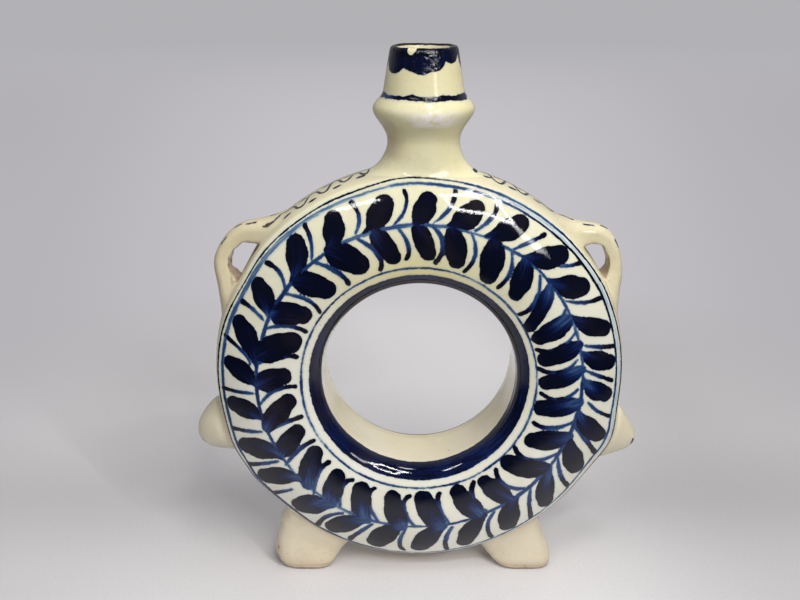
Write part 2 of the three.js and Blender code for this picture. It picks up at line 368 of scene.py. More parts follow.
# Thin strokes after each pair: three points of the outer one, three points of the inner one
STROKES = [
    ((4.5, 27.3), (8.6, 32), (9.8, 39), (3.5, 26), (8.6, 19.5), (6.6, 12.6)),
    ((18.5, 27), (22, 33), (22.2, 38.2), (17.5, 25.8), (21.6, 18.5), (20, 11.8)),
    ((33, 27), (36.5, 33), (38.6, 37.6), (33, 25.6), (37, 19), (37, 12.4)),
    ((48.5, 33), (50.8, 36.5), (52.3, 40), (46, 25.5), (53, 17.5), (53.5, 10.8)),
    ((59, 27.5), (62.5, 32.5), (64.5, 39.4), (61.5, 25.8), (64.6, 21), (65.5, 16.5)),
    ((76.5, 28), (78.5, 33), (80, 39.6), (70.5, 26), (75, 18), (73.2, 10.8)),
    ((85.5, 27), (88, 32), (90.7, 38.6), (81, 24.5), (85.3, 17), (83, 10.4)),
    ((97.5, 29.5), (100.5, 34), (102.3, 39.8), (92.5, 24.6), (97.4, 18), (95.5, 11.4)),
    ((107, 27), (111, 33), (114.6, 39.4), (105.5, 25.5), (110.5, 18), (110.8, 12)),
    ((120.5, 27), (125.5, 32.5), (128, 40), (119, 25.5), (127, 18), (126.5, 11)),
    ((135.5, 26.8), (140, 32.5), (143.4, 40.6), (137, 25.5), (142.3, 18.5), (140.8, 12.2)),
    ((151.5, 27.2), (156, 32), (157, 40.6), (154, 25), (156.6, 18), (153.3, 12.2)),
    ((168, 28), (171, 34), (171.3, 41), (168.8, 25.5), (171.5, 17), (170.2, 12.6)),
    ((184.8, 27.5), (186.2, 35), (184.6, 40.8), (181.5, 26), (186.6, 17.5), (184.3, 13.2)),
    ((197, 28), (199.8, 34), (201.5, 41), (195, 26), (202, 18), (201.4, 13)),
    ((208.5, 28), (212, 33), (212.3, 41), (210, 26.3), (214.7, 18), (212.4, 13.6)),
    ((227.3, 32.4), (228.2, 37), (229, 41.2), (221.3, 27), (226.5, 18.5), (226.4, 13.4)),
    ((238.8, 28.5), (240, 35), (241, 41.2), (236.3, 26.8), (239.3, 18.5), (239.4, 12.2)),
    ((251.3, 28.8), (252.3, 34), (253.8, 40.6), (251.3, 26.5), (252.4, 19), (252.7, 12.4)),
    ((265.9, 27.8), (266.2, 34), (266.6, 41), (261.5, 26), (267, 19.5), (268, 12.2)),
    ((276.5, 28.8), (280.2, 32.5), (283, 41), (277.3, 26), (281.8, 18), (282.8, 12.5)),
    ((293.3, 28), (294.8, 33.5), (295, 39.6), (291, 25.6), (295.3, 18.5), (295.8, 12.2)),
    ((307, 27), (309.8, 32), (309, 38.4), (305, 26), (308.6, 18), (307, 11.6)),
    ((320.5, 27.2), (324, 32.5), (325, 39.8), (321, 25.6), (325.5, 17.5), (326, 12.2)),
    ((338, 27.5), (340.7, 32), (340, 38.2), (337.8, 25.5), (343, 17.5), (342, 12.2)),
    ((351, 26.8), (355.3, 32), (355.3, 38.4), (351.8, 26), (355.2, 19), (354, 14)),
]
STEM_S = 26.2
# Lines along the edge of a face: angle, then place, half width and strength of the outer line and
# of the inner one
EDGE_LINES = np.array([
    (0, 42.6, 0.36, 0.98, 40.5, 0.5, 0.45),
    (7, 42.6, 0.38, 0.85, 40.4, 0.5, 0.5),
    (14, 42.5, 0.5, 0.5, 40.4, 0.5, 0.5),
    (24, 42.4, 0.7, 0.3, 40.2, 0.45, 0.5),
    (38, 42.4, 0.6, 0.42, 40.1, 0.4, 0.75),
    (50, 42.6, 0.42, 0.95, 40.4, 0.48, 0.95),
    (80, 43.4, 0.42, 0.95, 40.6, 0.48, 0.8),
    (96, 43.5, 0.45, 1.0, 40.8, 0.6, 0.5),
    (116, 43.4, 0.55, 1.1, 40.2, 0.6, 0.45),
    (130, 43.4, 0.4, 0.9, 41.2, 0.45, 0.5),
    (150, 43.4, 0.34, 0.9, 41.9, 0.36, 0.5),
    (170, 43.6, 0.3, 0.85, 42.4, 0.3, 0.4),
    (190, 43.6, 0.36, 0.8, 42.6, 0.45, 0.4),
    (206, 43.4, 0.5, 0.8, 42.5, 0.8, 0.55),
    (228, 43.3, 0.5, 0.9, 42.3, 0.7, 0.6),
    (244, 43.4, 0.5, 1.1, 41.2, 0.65, 0.5),
    (264, 43.3, 0.46, 1.1, 40.8, 0.7, 0.5),
    (284, 42.8, 0.44, 1.1, 40.7, 0.85, 0.42),
    (304, 42.0, 0.36, 1.05, 40.2, 1.15, 0.26),
    (322, 41.5, 0.36, 1.05, 39.7, 1.1, 0.25),
    (342, 41.6, 0.36, 1.0, 39.6, 0.7, 0.32),
])
# How thin the ink of the leaves is and how broad they are: angle, thinness, breadth
HANDLING = np.array([
    (0, 0.5, 1.03), (40, 0.8, 1.02), (68, 1.3, 0.99), (92, 1.35, 0.95),
    (118, 1.25, 0.95), (142, 1.0, 1.0), (172, 1.3, 1.08), (205, 1.9, 1.1),
    (228, 1.3, 1.06), (255, 1.0, 1.05), (290, 1.05, 1.08), (325, 0.8, 1.1),
])
EDGE_PEAK = (-6, 7)  # where the edge lines rise to a peak, and its spread
LEAF_STEPS = 48
STROKE_STEPS = 60
LEAF_REACH = 6.0
STROKE_REACH = 4.0
LEAF_WOBBLE = 0.42


def round_table(table, deg, columns):
    """Columns of a table at places round the ring; its first column is the angle."""
    return (np.interp(deg, table[:, 0], table[:, k], period=360) for k in columns)


def hand(deg, seed, size):
    """A slow wander of a hand-drawn line round the ring."""
    waves = np.random.default_rng(seed)
    total = np.zeros(np.shape(deg))
    for k in (2, 3, 5, 7, 11, 17, 29, 41):
        total = total + np.sin(np.radians(deg) * k + waves.uniform(0, FULL_TURN)) / k**0.5
    return size * total / 2


def edge_line(deg, seed):
    """Place, half width and strength of the line at the outer edge of a face."""
    place, half, tone = round_table(EDGE_LINES, deg, (1, 2, 3))
    place = place + 0.8 * hump(deg, *EDGE_PEAK) + hand(deg, seed + 3, 0.14)
    return place, half + hand(deg, seed + 4, 0.08), tone + hand(deg, seed + 5, 0.08)


def paint_face(paint, deg, s, radius, seed):
    """The lines along the edge, the band round the hole and the garland between them."""
    draw = np.random.default_rng(seed)
    everywhere = np.arange(len(deg))

    def line(at, half, tone):
        paint.strokes += 1
        tone = np.broadcast_to(tone, deg.shape)
        paint.put(everywhere, half - np.abs(s - at), tone, s - at, np.radians(deg) * radius)

    stem = STEM_S + hand(deg, seed, 0.35)
    line(stem, 0.74 + hand(deg, seed + 1, 0.28), 0.46 + hand(deg, seed + 2, 0.2))
    outer, half, tone = edge_line(deg, seed)
    line(outer, half, tone)
    inner, half, tone = round_table(EDGE_LINES, deg, (4, 5, 6))
    inner = inner + 0.6 * hump(deg, *EDGE_PEAK) + hand(deg, seed + 6, 0.22)
    line(inner, half + 0.08 + hand(deg, seed + 7, 0.16), tone + hand(deg, seed + 8, 0.1))
    tint = smooth(16, 30, deg) * smooth(125, 100, deg)
    line((outer + inner) / 2, 1.2 * tint - 0.35, 0.02)
    low = 10.1 - 0.75 * hump(deg, 85, 45) + hand(deg, seed + 11, 0.2)
    line(low, 0.45 + hand(deg, seed + 12, 0.1), 0.55 + hand(deg, seed + 13, 0.16))
    upper = 7.1 - 0.45 * hump(deg, 118, 45) + hand(deg, seed + 14, 0.16)
    lower = -1.2 + 3.6 * hump(deg, 300, 40) + hand(deg, seed + 15, 0.3)
    paint.strokes += 1
    depth = np.minimum(upper - s, s - lower)
    paint.put(everywhere, depth, 0.8 + hand(deg, seed + 16, 0.1), s, np.radians(deg) * radius)

    def leaf(foot, tip, height, half, way, thin):
        """way is 1 for a leaf outside the stem and -1 for one inside it."""
        end = height - way * half * 0.82
        lean = 0.7 if way > 0 else 0.35
        elbow = (foot + lean * (tip - foot), STEM_S + (end - STEM_S) * 0.3)
        spine = bend((foot, STEM_S + 0.3 * way), elbow, (tip, end), LEAF_STEPS)
        t = np.linspace(0, 1, LEAF_STEPS)
        slim = (0.13 if way > 0 else 0.36) + 0.2 * smooth(60, 150, abs(float(wrap(foot))))
        swell = smooth(-0.12, 0.72, t) ** 1.15 if way > 0 else smooth(-0.2, draw.uniform(0.5, 0.62), t)
        radii = half * (slim + (1 - slim) * swell) * (1 - 0.2 * smooth(0.68, 1.0, t))
        fade = 1 - smooth(0.0, draw.uniform(0.35, 0.75) * (0.7 + 0.35 * thin), t)
        tones = 1.06 - 0.1 * thin * draw.uniform(0.0, 1.0) - thin * draw.uniform(0.1, 0.42) * fade
        chart = Chart(deg, s, radius, spine[:, 0], spine[:, 1], LEAF_REACH)
        gleam = draw.uniform(0.05, 0.34) * thin
        paint.stroke(chart, radii, tones, gleam, draw.uniform(-1.4, 1.4), LEAF_WOBBLE)

    def thin_stroke(points, body, blob):
        """body: its half width; blob: how much it swells at its end."""
        path = through(*points, STROKE_STEPS)
        t = np.linspace(0, 1, STROKE_STEPS)
        body += 0.12 * smooth(60, 150, abs(float(wrap(points[0][0])))) + draw.uniform(-0.06, 0.1)
        radii = body * (0.75 + 0.4 * np.sin(math.pi * t))
        radii = radii + blob * smooth(0.72, 0.95, t) * draw.uniform(0.5, 1.2)
        tones = 0.42 + 0.26 * t + 0.45 * smooth(0.5, 0.95, t) * draw.uniform(0.8, 1.1)
        chart = Chart(deg, s, radius, path[:, 0], path[:, 1], STROKE_REACH)
        paint.stroke(chart, radii, np.clip(tones, 0, 1))

    for pair, strokes in zip(LEAVES, STROKES):
        thin, breadth = round_table(HANDLING, pair[0], (1, 2))
        for way, (foot, tip, height, half) in ((1, pair[:4]), (-1, pair[4:])):
            leaf(foot, tip, height, half * breadth, way, thin)
        thin_stroke(strokes[:3], 0.72, 0.42)
        thin_stroke(strokes[3:], 0.8, 0.26)


# Materials
def new_material(name):
    material = bpy.data.materials.new(name)
    material.use_nodes = True
    tree = material.node_tree
    return material, tree, tree.nodes["Principled BSDF"]


def node(tree, kind, inputs=(), **settings):
    made = tree.nodes.new(kind)
    for key, value in settings.items():
        setattr(made, key, value)
    for key, value in dict(inputs).items():
        socket = made.inputs[key]
        if isinstance(value, bpy.types.NodeSocket):
            tree.links.new(value, socket)
        else:
            socket.default_value = value
    return made


def math_node(tree, operation, a, b=0.0, c=0.0):
    return node(tree, "ShaderNodeMath", {0: a, 1: b, 2: c}, operation=operation).outputs[0]


def times(tree, a, b):
    return math_node(tree, "MULTIPLY", a, b)


def times_plus(tree, a, b, c):
    """a times b, plus c."""
    return math_node(tree, "MULTIPLY_ADD", a, b, c)


def span(tree, value, low, high, to_low=0.0, to_high=1.0):
    """A smooth step from to_low, where the value is low, to to_high, where it is high."""
    inputs = {"Value": value, "From Min": low, "From Max": high, "To Min": to_low, "To Max": to_high}
    return node(tree, "ShaderNodeMapRange", inputs, interpolation_type="SMOOTHSTEP").outputs[0]


def noise(tree, vector, scale, detail=3.0, rough=0.5):
    inputs = {"Vector": vector, "Scale": scale, "Detail": detail, "Roughness": rough}
    return node(tree, "ShaderNodeTexNoise", inputs).outputs["Fac"]


def ramp(tree, value, stops):
    made = node(tree, "ShaderNodeValToRGB", {"Fac": value})
    elements = made.color_ramp.elements
    while len(elements) < len(stops):
        elements.new(0.5)
    for element, (at, colour) in zip(elements, stops):
        element.position = at
        element.color = (*colour, 1.0)
    return made.outputs["Color"]


def mix(tree, factor, a, b, blend_type="MIX"):
    made = node(tree, "ShaderNodeMix", data_type="RGBA", blend_type=blend_type)
    colours = [s for s in made.inputs if s.type == "RGBA"]
    for socket, value in ((made.inputs["Factor"], factor), (colours[0], a), (colours[1], b)):
        if isinstance(value, bpy.types.NodeSocket):
            tree.links.new(value, socket)
        else:
            socket.default_value = value if isinstance(value, float) else (*value, 1.0)
    return next(s for s in made.outputs if s.type == "RGBA")


# Colours of what lies in and under the glaze; the white crust and the stain also stand for painted
# highlight and shade
BLISTERS = (0.93, 0.88, 0.74)
UPPER_TINT = (1.0, 0.995, 0.86)
YELLOW_POOL = (0.84, 0.74, 0.3)
WHITE_CRUST_AND_HIGHLIGHT = (0.97, 0.9, 0.87)
GRIME = (0.5, 0.37, 0.24)
DUST = (0.24, 0.17, 0.11)
SPECKS = (0.16, 0.1, 0.06)
STAIN_AND_SHADE = (0.42, 0.31, 0.21)
INK_HALO = (0.27, 0.37, 0.43)
BARE_CLAY = [(0.3, (0.27, 0.19, 0.14)), (0.7, (0.5, 0.38, 0.29))]
INK = [
    (0.0, (0.58, 0.64, 0.62)),
    (0.12, (0.34, 0.42, 0.5)),
    (0.24, (0.11, 0.19, 0.3)),
    (0.4, (0.025, 0.065, 0.18)),
    (0.6, (0.0075, 0.019, 0.09)),
    (0.78, (0.0032, 0.0062, 0.034)),
    (0.95, (0.0022, 0.0033, 0.0115)),
]
BRUSH_GRAIN = (1.5, 0.13, 1.0)  # waves per mm across a stroke and along it, and from stroke to stroke
GLAZE_IOR = 1.5
GLAZE_SPECULAR = 0.47
RELIEF_DEPTH = 0.0003


def glaze(name, pale, deep, satin, grime):
    """satin: roughness of the bare glaze; grime: how much brown stain lies in it."""
    material, tree, shader = new_material(name)
    place = node(tree, "ShaderNodeTexCoord").outputs["Object"]

    def stored(attribute, output="Fac"):
        return node(tree, "ShaderNodeAttribute", attribute_name=attribute).outputs[output]

    # Ivory glaze with its pools, white crust with a painted highlight, grime, dust and specks
    broad = noise(tree, place, 38.0, 3.0)
    fine = noise(tree, place, 420.0, 4.0, 0.6)
    cream = ramp(tree, broad, [(0.3, deep), (0.62, pale)])
    cream = mix(tree, span(tree, fine, 0.45, 0.8, 0.0, 0.16), cream, BLISTERS)
    height = node(tree, "ShaderNodeSeparateXYZ", {"Vector": place}).outputs["Z"]
    cream = mix(tree, span(tree, height, 0.05, 0.17), cream, UPPER_TINT, "MULTIPLY")
    cream = mix(tree, stored("pool"), cream, YELLOW_POOL)
    # White crust on the collar, partly a painted highlight where the collar faces the floor in front
    crust_and_highlight_patch = span(tree, noise(tree, place, 330.0, 4.0, 0.7), 0.34, 0.56)
    cream = mix(tree, times(tree, crust_and_highlight_patch, stored("crust_and_highlight")), cream, WHITE_CRUST_AND_HIGHLIGHT)
    patch = noise(tree, place, 95.0, 5.0, 0.62)
    cream = mix(tree, span(tree, patch, 0.5, 0.72, 0.0, 0.5 * grime), cream, GRIME)
    dust = span(tree, noise(tree, place, 1500.0, 2.0), 0.64, 0.74)
    dust = times(tree, dust, span(tree, patch, 0.42, 0.6))
    cream = mix(tree, times(tree, dust, grime), cream, DUST)
    cells = node(tree, "ShaderNodeTexVoronoi", {"Vector": place, "Scale": 170.0})
    rare = node(tree, "ShaderNodeSeparateColor", {"Color": cells.outputs["Color"]}).outputs[0]
    speck = span(tree, cells.outputs["Distance"], 0.09, 0.04)
    speck = times(tree, speck, span(tree, rare, 0.86, 0.9))
    cream = mix(tree, times(tree, speck, 0.6), cream, SPECKS)

    # Ink with ragged edges, streaks along the brush and a faint blue halo
    ragged = times_plus(tree, noise(tree, place, 1000.0, 3.0), 0.6, -0.3)
    uneven = times_plus(tree, noise(tree, place, 330.0, 2.0), 0.6, -0.3)
    ragged = math_node(tree, "ADD", ragged, uneven)
    inside = math_node(tree, "ADD", stored("ink"), ragged)
    mask = span(tree, inside, -0.09, 0.09)
    grain = {0: stored("brush", "Vector"), 1: BRUSH_GRAIN}
    grain = node(tree, "ShaderNodeVectorMath", grain, operation="MULTIPLY").outputs[0]
    streak = noise(tree, grain, 1.0, 4.0, 0.65)
    tone = times_plus(tree, math_node(tree, "SUBTRACT", streak, 0.5), 0.8, stored("tone"))
    weak = times(tree, span(tree, inside, 0.5, 0.0), span(tree, tone, 0.85, 0.55, 0.05, 0.3))
    ink = ramp(tree, math_node(tree, "SUBTRACT", tone, weak), INK)
    cream = mix(tree, span(tree, inside, -0.9, 0.0, 0.0, 0.24), cream, INK_HALO)
    colour = mix(tree, mask, cream, ink)

    # Stain and brown painted shade, and bare clay where the glaze is worn
    wear_and_shade = stored("wear_and_shade")
    bare = math_node(tree, "ADD", wear_and_shade, times_plus(tree, fine, 1.2, -0.6))
    bare = span(tree, bare, 0.42, 0.62)
    stain = span(tree, times_plus(tree, broad, 0.25, wear_and_shade), 0.12, 0.6, 0.0, 0.75)
    colour = mix(tree, stain, colour, STAIN_AND_SHADE)
    colour = mix(tree, bare, colour, ramp(tree, noise(tree, place, 700.0, 3.0), BARE_CLAY))
    tree.links.new(colour, shader.inputs["Base Color"])

    gloss = times_plus(tree, noise(tree, place, 90.0, 2.0), 0.04, 0.01)
    gloss = times_plus(tree, math_node(tree, "SUBTRACT", 1.0, mask), satin, gloss)
    gloss = times_plus(tree, bare, 0.4, gloss)
    tree.links.new(gloss, shader.inputs["Roughness"])
    shader.inputs["IOR"].default_value = GLAZE_IOR
    shader.inputs["Specular IOR Level"].default_value = GLAZE_SPECULAR

    # Relief: waves and crinkles of the glaze, thick ink and worn places
    ridge = math_node(tree, "ABSOLUTE", times_plus(tree, noise(tree, place, 520.0, 3.0), 2.0, -1.0))
    depth = times(tree, span(tree, mask, 0.0, 1.0, 0.3, 1.0), stored("crinkle"))
    crinkle = times(tree, ridge, times_plus(tree, depth, 0.5, 0.02))
    relief = times_plus(tree, noise(tree, place, 130.0, 1.0), 0.55, crinkle)
    relief = times_plus(tree, mask, 0.12, relief)
    relief = times_plus(tree, times(tree, streak, mask), 0.05, relief)
    relief = times_plus(tree, bare, -0.3, relief)
    bump = node(tree, "ShaderNodeBump", {"Height": relief, "Strength": 1.0, "Distance": RELIEF_DEPTH})
    tree.links.new(bump.outputs["Normal"], shader.inputs["Normal"])
    return material


FACE_GLAZE = glaze("white_glaze", (0.79, 0.785, 0.715), (0.75, 0.73, 0.6), 0.0, 0.08)
BODY_GLAZE = glaze("ivory_glaze", (0.77, 0.71, 0.57), (0.72, 0.65, 0.45), 0.0, 0.2)
NECK_GLAZE = glaze("satin_ivory_glaze", (0.8, 0.76, 0.61), (0.77, 0.705, 0.48), 0.06, 0.25)
HAND_GLAZE = glaze("thin_ivory_glaze", (0.745, 0.69, 0.54), (0.68, 0.605, 0.435), 0.12, 0.55)
SHARP_EDGE = math.radians(48)


def make(name, cad_node, points, faces, paint, material):
    """A closed piece from points in mm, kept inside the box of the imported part."""
    points = np.clip(points, BOX_LOW, BOX_HIGH) * MM
    mesh = bpy.data.meshes.new(name)
    mesh.from_pydata(points.tolist(), [], faces)
    for key in PAINT_KEYS:
        values = getattr(paint, key).astype(np.float32)
        mesh.attributes.new(key, "FLOAT", "POINT").data.foreach_set("value", values)
    brush = mesh.attributes.new("brush", "FLOAT_VECTOR", "POINT")
    brush.data.foreach_set("vector", paint.brush.astype(np.float32).ravel())
    work = bmesh.new()
    work.from_mesh(mesh)
    bmesh.ops.recalc_face_normals(work, faces=work.faces)
    if work.calc_volume(signed=True) < 0:
        bmesh.ops.reverse_faces(work, faces=work.faces)
    work.to_mesh(mesh)
    work.free()
    mesh.shade_smooth()
    mesh.set_sharp_from_angle(angle=SHARP_EDGE)
    piece = bpy.data.objects.new(name, mesh)
    bpy.context.scene.collection.objects.link(piece)
    mesh.materials.append(material)
    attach(piece, "root")
    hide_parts(cad_node)


def loop_faces(rows, columns, closed_rows):
    """Quads between rows of points, where each row closes round; the last row can join the first."""
    faces = []
    for j in range(rows if closed_rows else rows - 1):
        k = (j + 1) % rows
        for i in range(columns):
            n = (i + 1) % columns
            faces.append((j * columns + i, j * columns + n, k * columns + n, k * columns + i))
    return faces


# Rows of a face: fine along the edge, where its lines are, and coarser inside
FACE_STEP = 0.45
LINES_STEP = 0.22
LINES_S = 39.0
# Back of a face plate, as radius and half depth
PLATE_BACK = [
    (EDGE_R - 1.6, -CORNER_Y - 0.3),
    (EDGE_R - CLAY, WALL_HALF + 0.15),
    (CROWN_R, CROWN_Y - CLAY),
    (HOLE_R + CLAY, HOLE_HALF + 0.15),
]


def face_piece(name, cad_node, side, turn, seed):
    """A face plate: side is -1 in front and 1 behind, where the garland is turned round the ring."""
    edge_rows = np.arange(LINES_S, CORNER_S - 0.1, LINES_STEP)
    s_rows = np.r_[np.arange(0.0, LINES_S, FACE_STEP), edge_rows, CORNER_S]
    deg, s = np.meshgrid(DEGREES, s_rows)
    radius = face_r(s) + edge_bulge(deg) * smooth(28, CORNER_S, s)
    flat = on_ring(deg, radius, face_y(s)).reshape(-1, 3)
    calm = (smooth(0, 4, s) * smooth(CORNER_S, CORNER_S - 5, s)).ravel()
    flat[:, 1] += FACE_LUMPS * calm * (lumps(flat) + 1.0)
    outside = flat.reshape(*deg.shape, 3)
    inside = []
    for back_r, back_y in PLATE_BACK:
        bulge = edge_bulge(DEGREES) * (back_r > CROWN_R)
        inside.append(on_ring(DEGREES, back_r + bulge, np.full(COLUMNS, -back_y)))
    points = np.concatenate([outside, np.stack(inside)]).reshape(-1, 3)
    points[:, 1] *= -side
    paint = Paint(len(points))
    seen = Paint(deg.size)
    chart_deg = deg.ravel() if side < 0 else wrap(turn - deg.ravel()) % 360
    paint_face(seen, chart_deg, s.ravel(), radius.ravel(), seed)
    paint.take(seen, slice(deg.size))
    paint.wear_and_shade[deg.size :] = 1.0
    top = hump(chart_deg, 0, 36)
    paint.pool[: deg.size] = 0.55 * top * smooth(24, 6, s.ravel()) + 0.2 * top
    faces = loop_faces(len(s_rows) + len(inside), COLUMNS, True)
    make(name, cad_node, points, faces, paint, FACE_GLAZE)


# Each face: its side, how far its garland is turned and the seed of its hand
FACES = [(-1, 0.0, 5), (1, 193.0, 61)]
face_piece("front_face_glazed", "front_face", *FACES[0])
face_piece("rear_face_glazed", "rear_face", *FACES[1])

# Neck, as heights above the top of the ring
NECK_X = 1.2
NECK_AROUND = 144
NECK_STEP = 0.55
BORE_R = 7.5
BORE_ROOM = 0.9  # room round the bore in the outer wall
RING_TOP = RING_Z + EDGE_R + BARREL
WAIST = 8.5
WAIST_R = 13.0
FLARE_REACH = 9.5  # how far the root spreads along the ring
FLARE_FRONT = WALL_HALF + 0.35  # half its depth across the ring
FLARE_SUNK = (0.4, 0.7)  # its edge under the wall: how much wider and how deep
FLARE_STEPS = 22
RIM = 41.8
# Outside of the neck: height and radius
NECK_PROFILE = [
    (WAIST, WAIST_R), (10.0, 13.1), (11.6, 13.5), (13.8, 14.6), (15.9, 16.0), (18.0, 17.4), (19.4, 17.9),
    (20.4, 18.0), (21.6, 17.6), (23.2, 16.4), (24.4, 15.2), (25.4, 14.6), (26.4, 14.35), (30.0, 13.8),
    (34.0, 13.2), (37.6, 12.6), (39.6, 12.25), (40.7, 12.05), (41.35, 11.8), (41.7, 11.35), (RIM, 10.9),
]
# Inside of the mouth: radius and height
MOUTH_PROFILE = [
    (10.6, 41.75), (10.3, 41.5), (10.1, 41.2), (9.9, 40.6), (9.7, 38.0), (9.0, 33.0),
    (BORE_R, 26.0), (BORE_R, 12.0),
]
WALL_ROWS = 47


def outer_wall():
    ys = np.linspace(CORNER_Y, -CORNER_Y, WALL_ROWS)
    deg, y = np.meshgrid(DEGREES, ys)
    outside = on_ring(deg, wall_r(deg, y), y)
    inside = on_ring(deg, EDGE_R - CLAY + edge_bulge(deg), y)
    points = np.concatenate([outside.reshape(-1, 3), inside.reshape(-1, 3)])
    count = deg.size
    hole_r = BORE_R + BORE_ROOM
    within = (np.hypot(points[:, 0] - NECK_X, points[:, 1]) < hole_r) & (points[:, 2] > RING_Z)
    hole = (within[:count] & within[count:]).reshape(deg.shape)
    faces, edges = [], {}
    for j in range(WALL_ROWS - 1):
        for i in range(COLUMNS):
            n = (i + 1) % COLUMNS
            if hole[j, i] or hole[j, n] or hole[j + 1, i] or hole[j + 1, n]:
                continue
            ring = [j * COLUMNS + i, j * COLUMNS + n, (j + 1) * COLUMNS + n, (j + 1) * COLUMNS + i]
            faces.append(tuple(ring))
            faces.append(tuple(count + v for v in reversed(ring)))
            for a, b in zip(ring, ring[1:] + ring[:1]):
                if edges.pop((b, a), None) is None:
                    edges[(a, b)] = True
    faces += [(b, a, count + a, count + b) for a, b in edges]
    rim = {v for edge in edges for v in edge if abs(points[v, 1]) < WALL_HALF - 1 and points[v, 2] > RING_Z}
    for v in rim:
        for w in (v, count + v):
            away = points[w, :2] - (NECK_X, 0.0)
            points[w, :2] = (NECK_X, 0.0) + away * hole_r / np.hypot(*away)
    used = sorted({v for face in faces for v in face})
    index = {v: k for k, v in enumerate(used)}
    faces = [tuple(index[v] for v in face) for face in faces]
    paint = Paint(2 * count)
    # Brown on the wall in the hollows under the ear holes: bare clay and painted shade
    paint.wear_and_shade[:count] = 0.36 * hollowed(deg, y, False).ravel()
    paint.wear_and_shade[count:] = 1.0
    seen = Paint(count)
    paint_wall(seen, deg.ravel(), y.ravel())
    paint.take(seen, slice(count))
    paint.keep(used)
    make("outer_wall_glazed", "outer_wall", points[used], faces, paint, BODY_GLAZE)


# Wavy line on the shoulders: angle and Y of each turn
LEFT_WAVE = [
    (-47.5, -3.0), (-44.6, -6.0), (-37.7, -1.1), (-33.9, -8.1), (-30.3, -0.8), (-26.5, -6.9),
    (-23.5, 1.3), (-20.5, -5.0), (-17.4, 1.2), (-14.7, -3.8), (-12.4, 5.0),
]
RIGHT_WAVE = [
    (16.6, 6.5), (21.7, -5.4), (25.0, 4.0), (28.7, -4.5),
    (32.3, 4.2), (37.4, -2.4), (41.0, 4.5), (44.5, -1.0),
]
# Dashes beside it: angle, Y, half length, half width
LEFT_DASHES = [
    (-38.6, -7.0, 1.5, 0.9), (-30.3, -8.5, 1.4, 1.0), (-22.9, -7.5, 1.3, 1.0), (-16.1, -5.5, 1.4, 1.1),
    (-11.0, 3.5, 1.2, 1.3), (-42.6, 1.0, 1.8, 0.8), (-33.5, -1.4, 1.5, 0.8), (-26.3, -0.3, 1.6, 0.7),
    (-19.8, 0.7, 1.5, 0.6), (-14.2, 4.6, 1.2, 0.6),
]
RIGHT_DASHES = [
    (18.2, -3.1, 1.2, 1.0), (25.5, -4.6, 1.3, 1.2), (33.4, -3.0, 1.5, 0.9), (41.8, 0.5, 1.6, 0.8),
    (21.2, 1.2, 1.4, 0.6), (28.7, 1.5, 1.4, 0.6), (37.0, 2.5, 1.4, 0.6),
]
TAIL = (14.7, -2.6, 6.0)  # a tail across the wall beside the neck: angle, from and to in Y
WAVE_STEPS = 26
DASH_STEPS = 14
TAIL_STEPS = 30


def paint_wall(paint, deg, y):
    radius = np.full(deg.shape, EDGE_R + 1.0)

    def stroke(at, across, reach, radii, strength):
        paint.stroke(Chart(deg, y, radius, at, across, reach), radii, np.full(len(radii), strength))

    for wave, dashes, strength in ((LEFT_WAVE, LEFT_DASHES, 1.1), (RIGHT_WAVE, RIGHT_DASHES, 0.95)):
        t = np.linspace(0, 1, WAVE_STEPS)
        for (a, ya), (b, yb) in zip(wave, wave[1:]):
            at = a + (b - a) * (t + 0.06 * np.sin(2 * math.pi * t))
            across = ya + (yb - ya) * (0.5 - 0.5 * np.cos(math.pi * t))
            stroke(at, across, 2.5, 0.72 - 0.22 * np.sin(math.pi * t), strength)
        t = np.linspace(-1, 1, DASH_STEPS)
        for at, across, length, half in dashes:
            turn = math.degrees(length / EDGE_R)
            stroke(at + turn * t, across + 0.3 * t, 3.0, half * (0.35 + 0.65 * (1 - t**2)), 1.05)
    at, low, high = TAIL
    t = np.linspace(0, 1, TAIL_STEPS)
    stroke(at + 0.5 * t, low + (high - low) * t, 3.0, 0.95 - 0.6 * t, 1.05)


outer_wall()


def paint_skirt(paint, points, limit=3.0):
    """The wavy line also runs over what is drawn out of the wall."""
    deg, _, y = ring_place(points)
    low = np.flatnonzero(height_over_wall(points) < limit)
    seen = Paint(len(low))
    paint_wall(seen, deg[low], y[low])
    paint.take(seen, low)


def inner_wall():
    degrees = DEGREES[::3]
    ys = HOLE_HALF * np.sin(np.linspace(-math.pi / 2, math.pi / 2, 40))
    deg, y = np.meshgrid(degrees, ys)
    edge = smooth(HOLE_HALF, HOLE_HALF - 4, np.abs(y))
    flat = on_ring(deg, np.full(deg.shape, HOLE_R), y).reshape(-1, 3)
    radius = HOLE_R - (0.25 + 0.2 * lumps(flat).reshape(deg.shape)) * edge
    outside = on_ring(deg, radius, y)
    inside = [on_ring(degrees, HOLE_R + CLAY, np.full(len(degrees), v)) for v in (HOLE_HALF, -HOLE_HALF)]
    points = np.concatenate([outside, np.stack(inside)]).reshape(-1, 3)
    paint = Paint(len(points))
    paint.wear_and_shade[deg.size :] = 1.0
    at = deg.ravel()
    reach = 1.6 + 1.6 * hump(at, 85, 38) - 4.4 * hump(at, 300, 40) + hand(at, 19, 0.3)
    depth = reach - (y.ravel() + HOLE_HALF)
    paint.strokes += 1
    paint.put(np.arange(deg.size), depth, np.full(deg.size, 0.85), depth, np.radians(at) * HOLE_R)
    faces = loop_faces(len(ys) + len(inside), len(degrees), True)
    make("inner_wall_glazed", "inner_wall", points, faces, paint, BODY_GLAZE)


inner_wall()


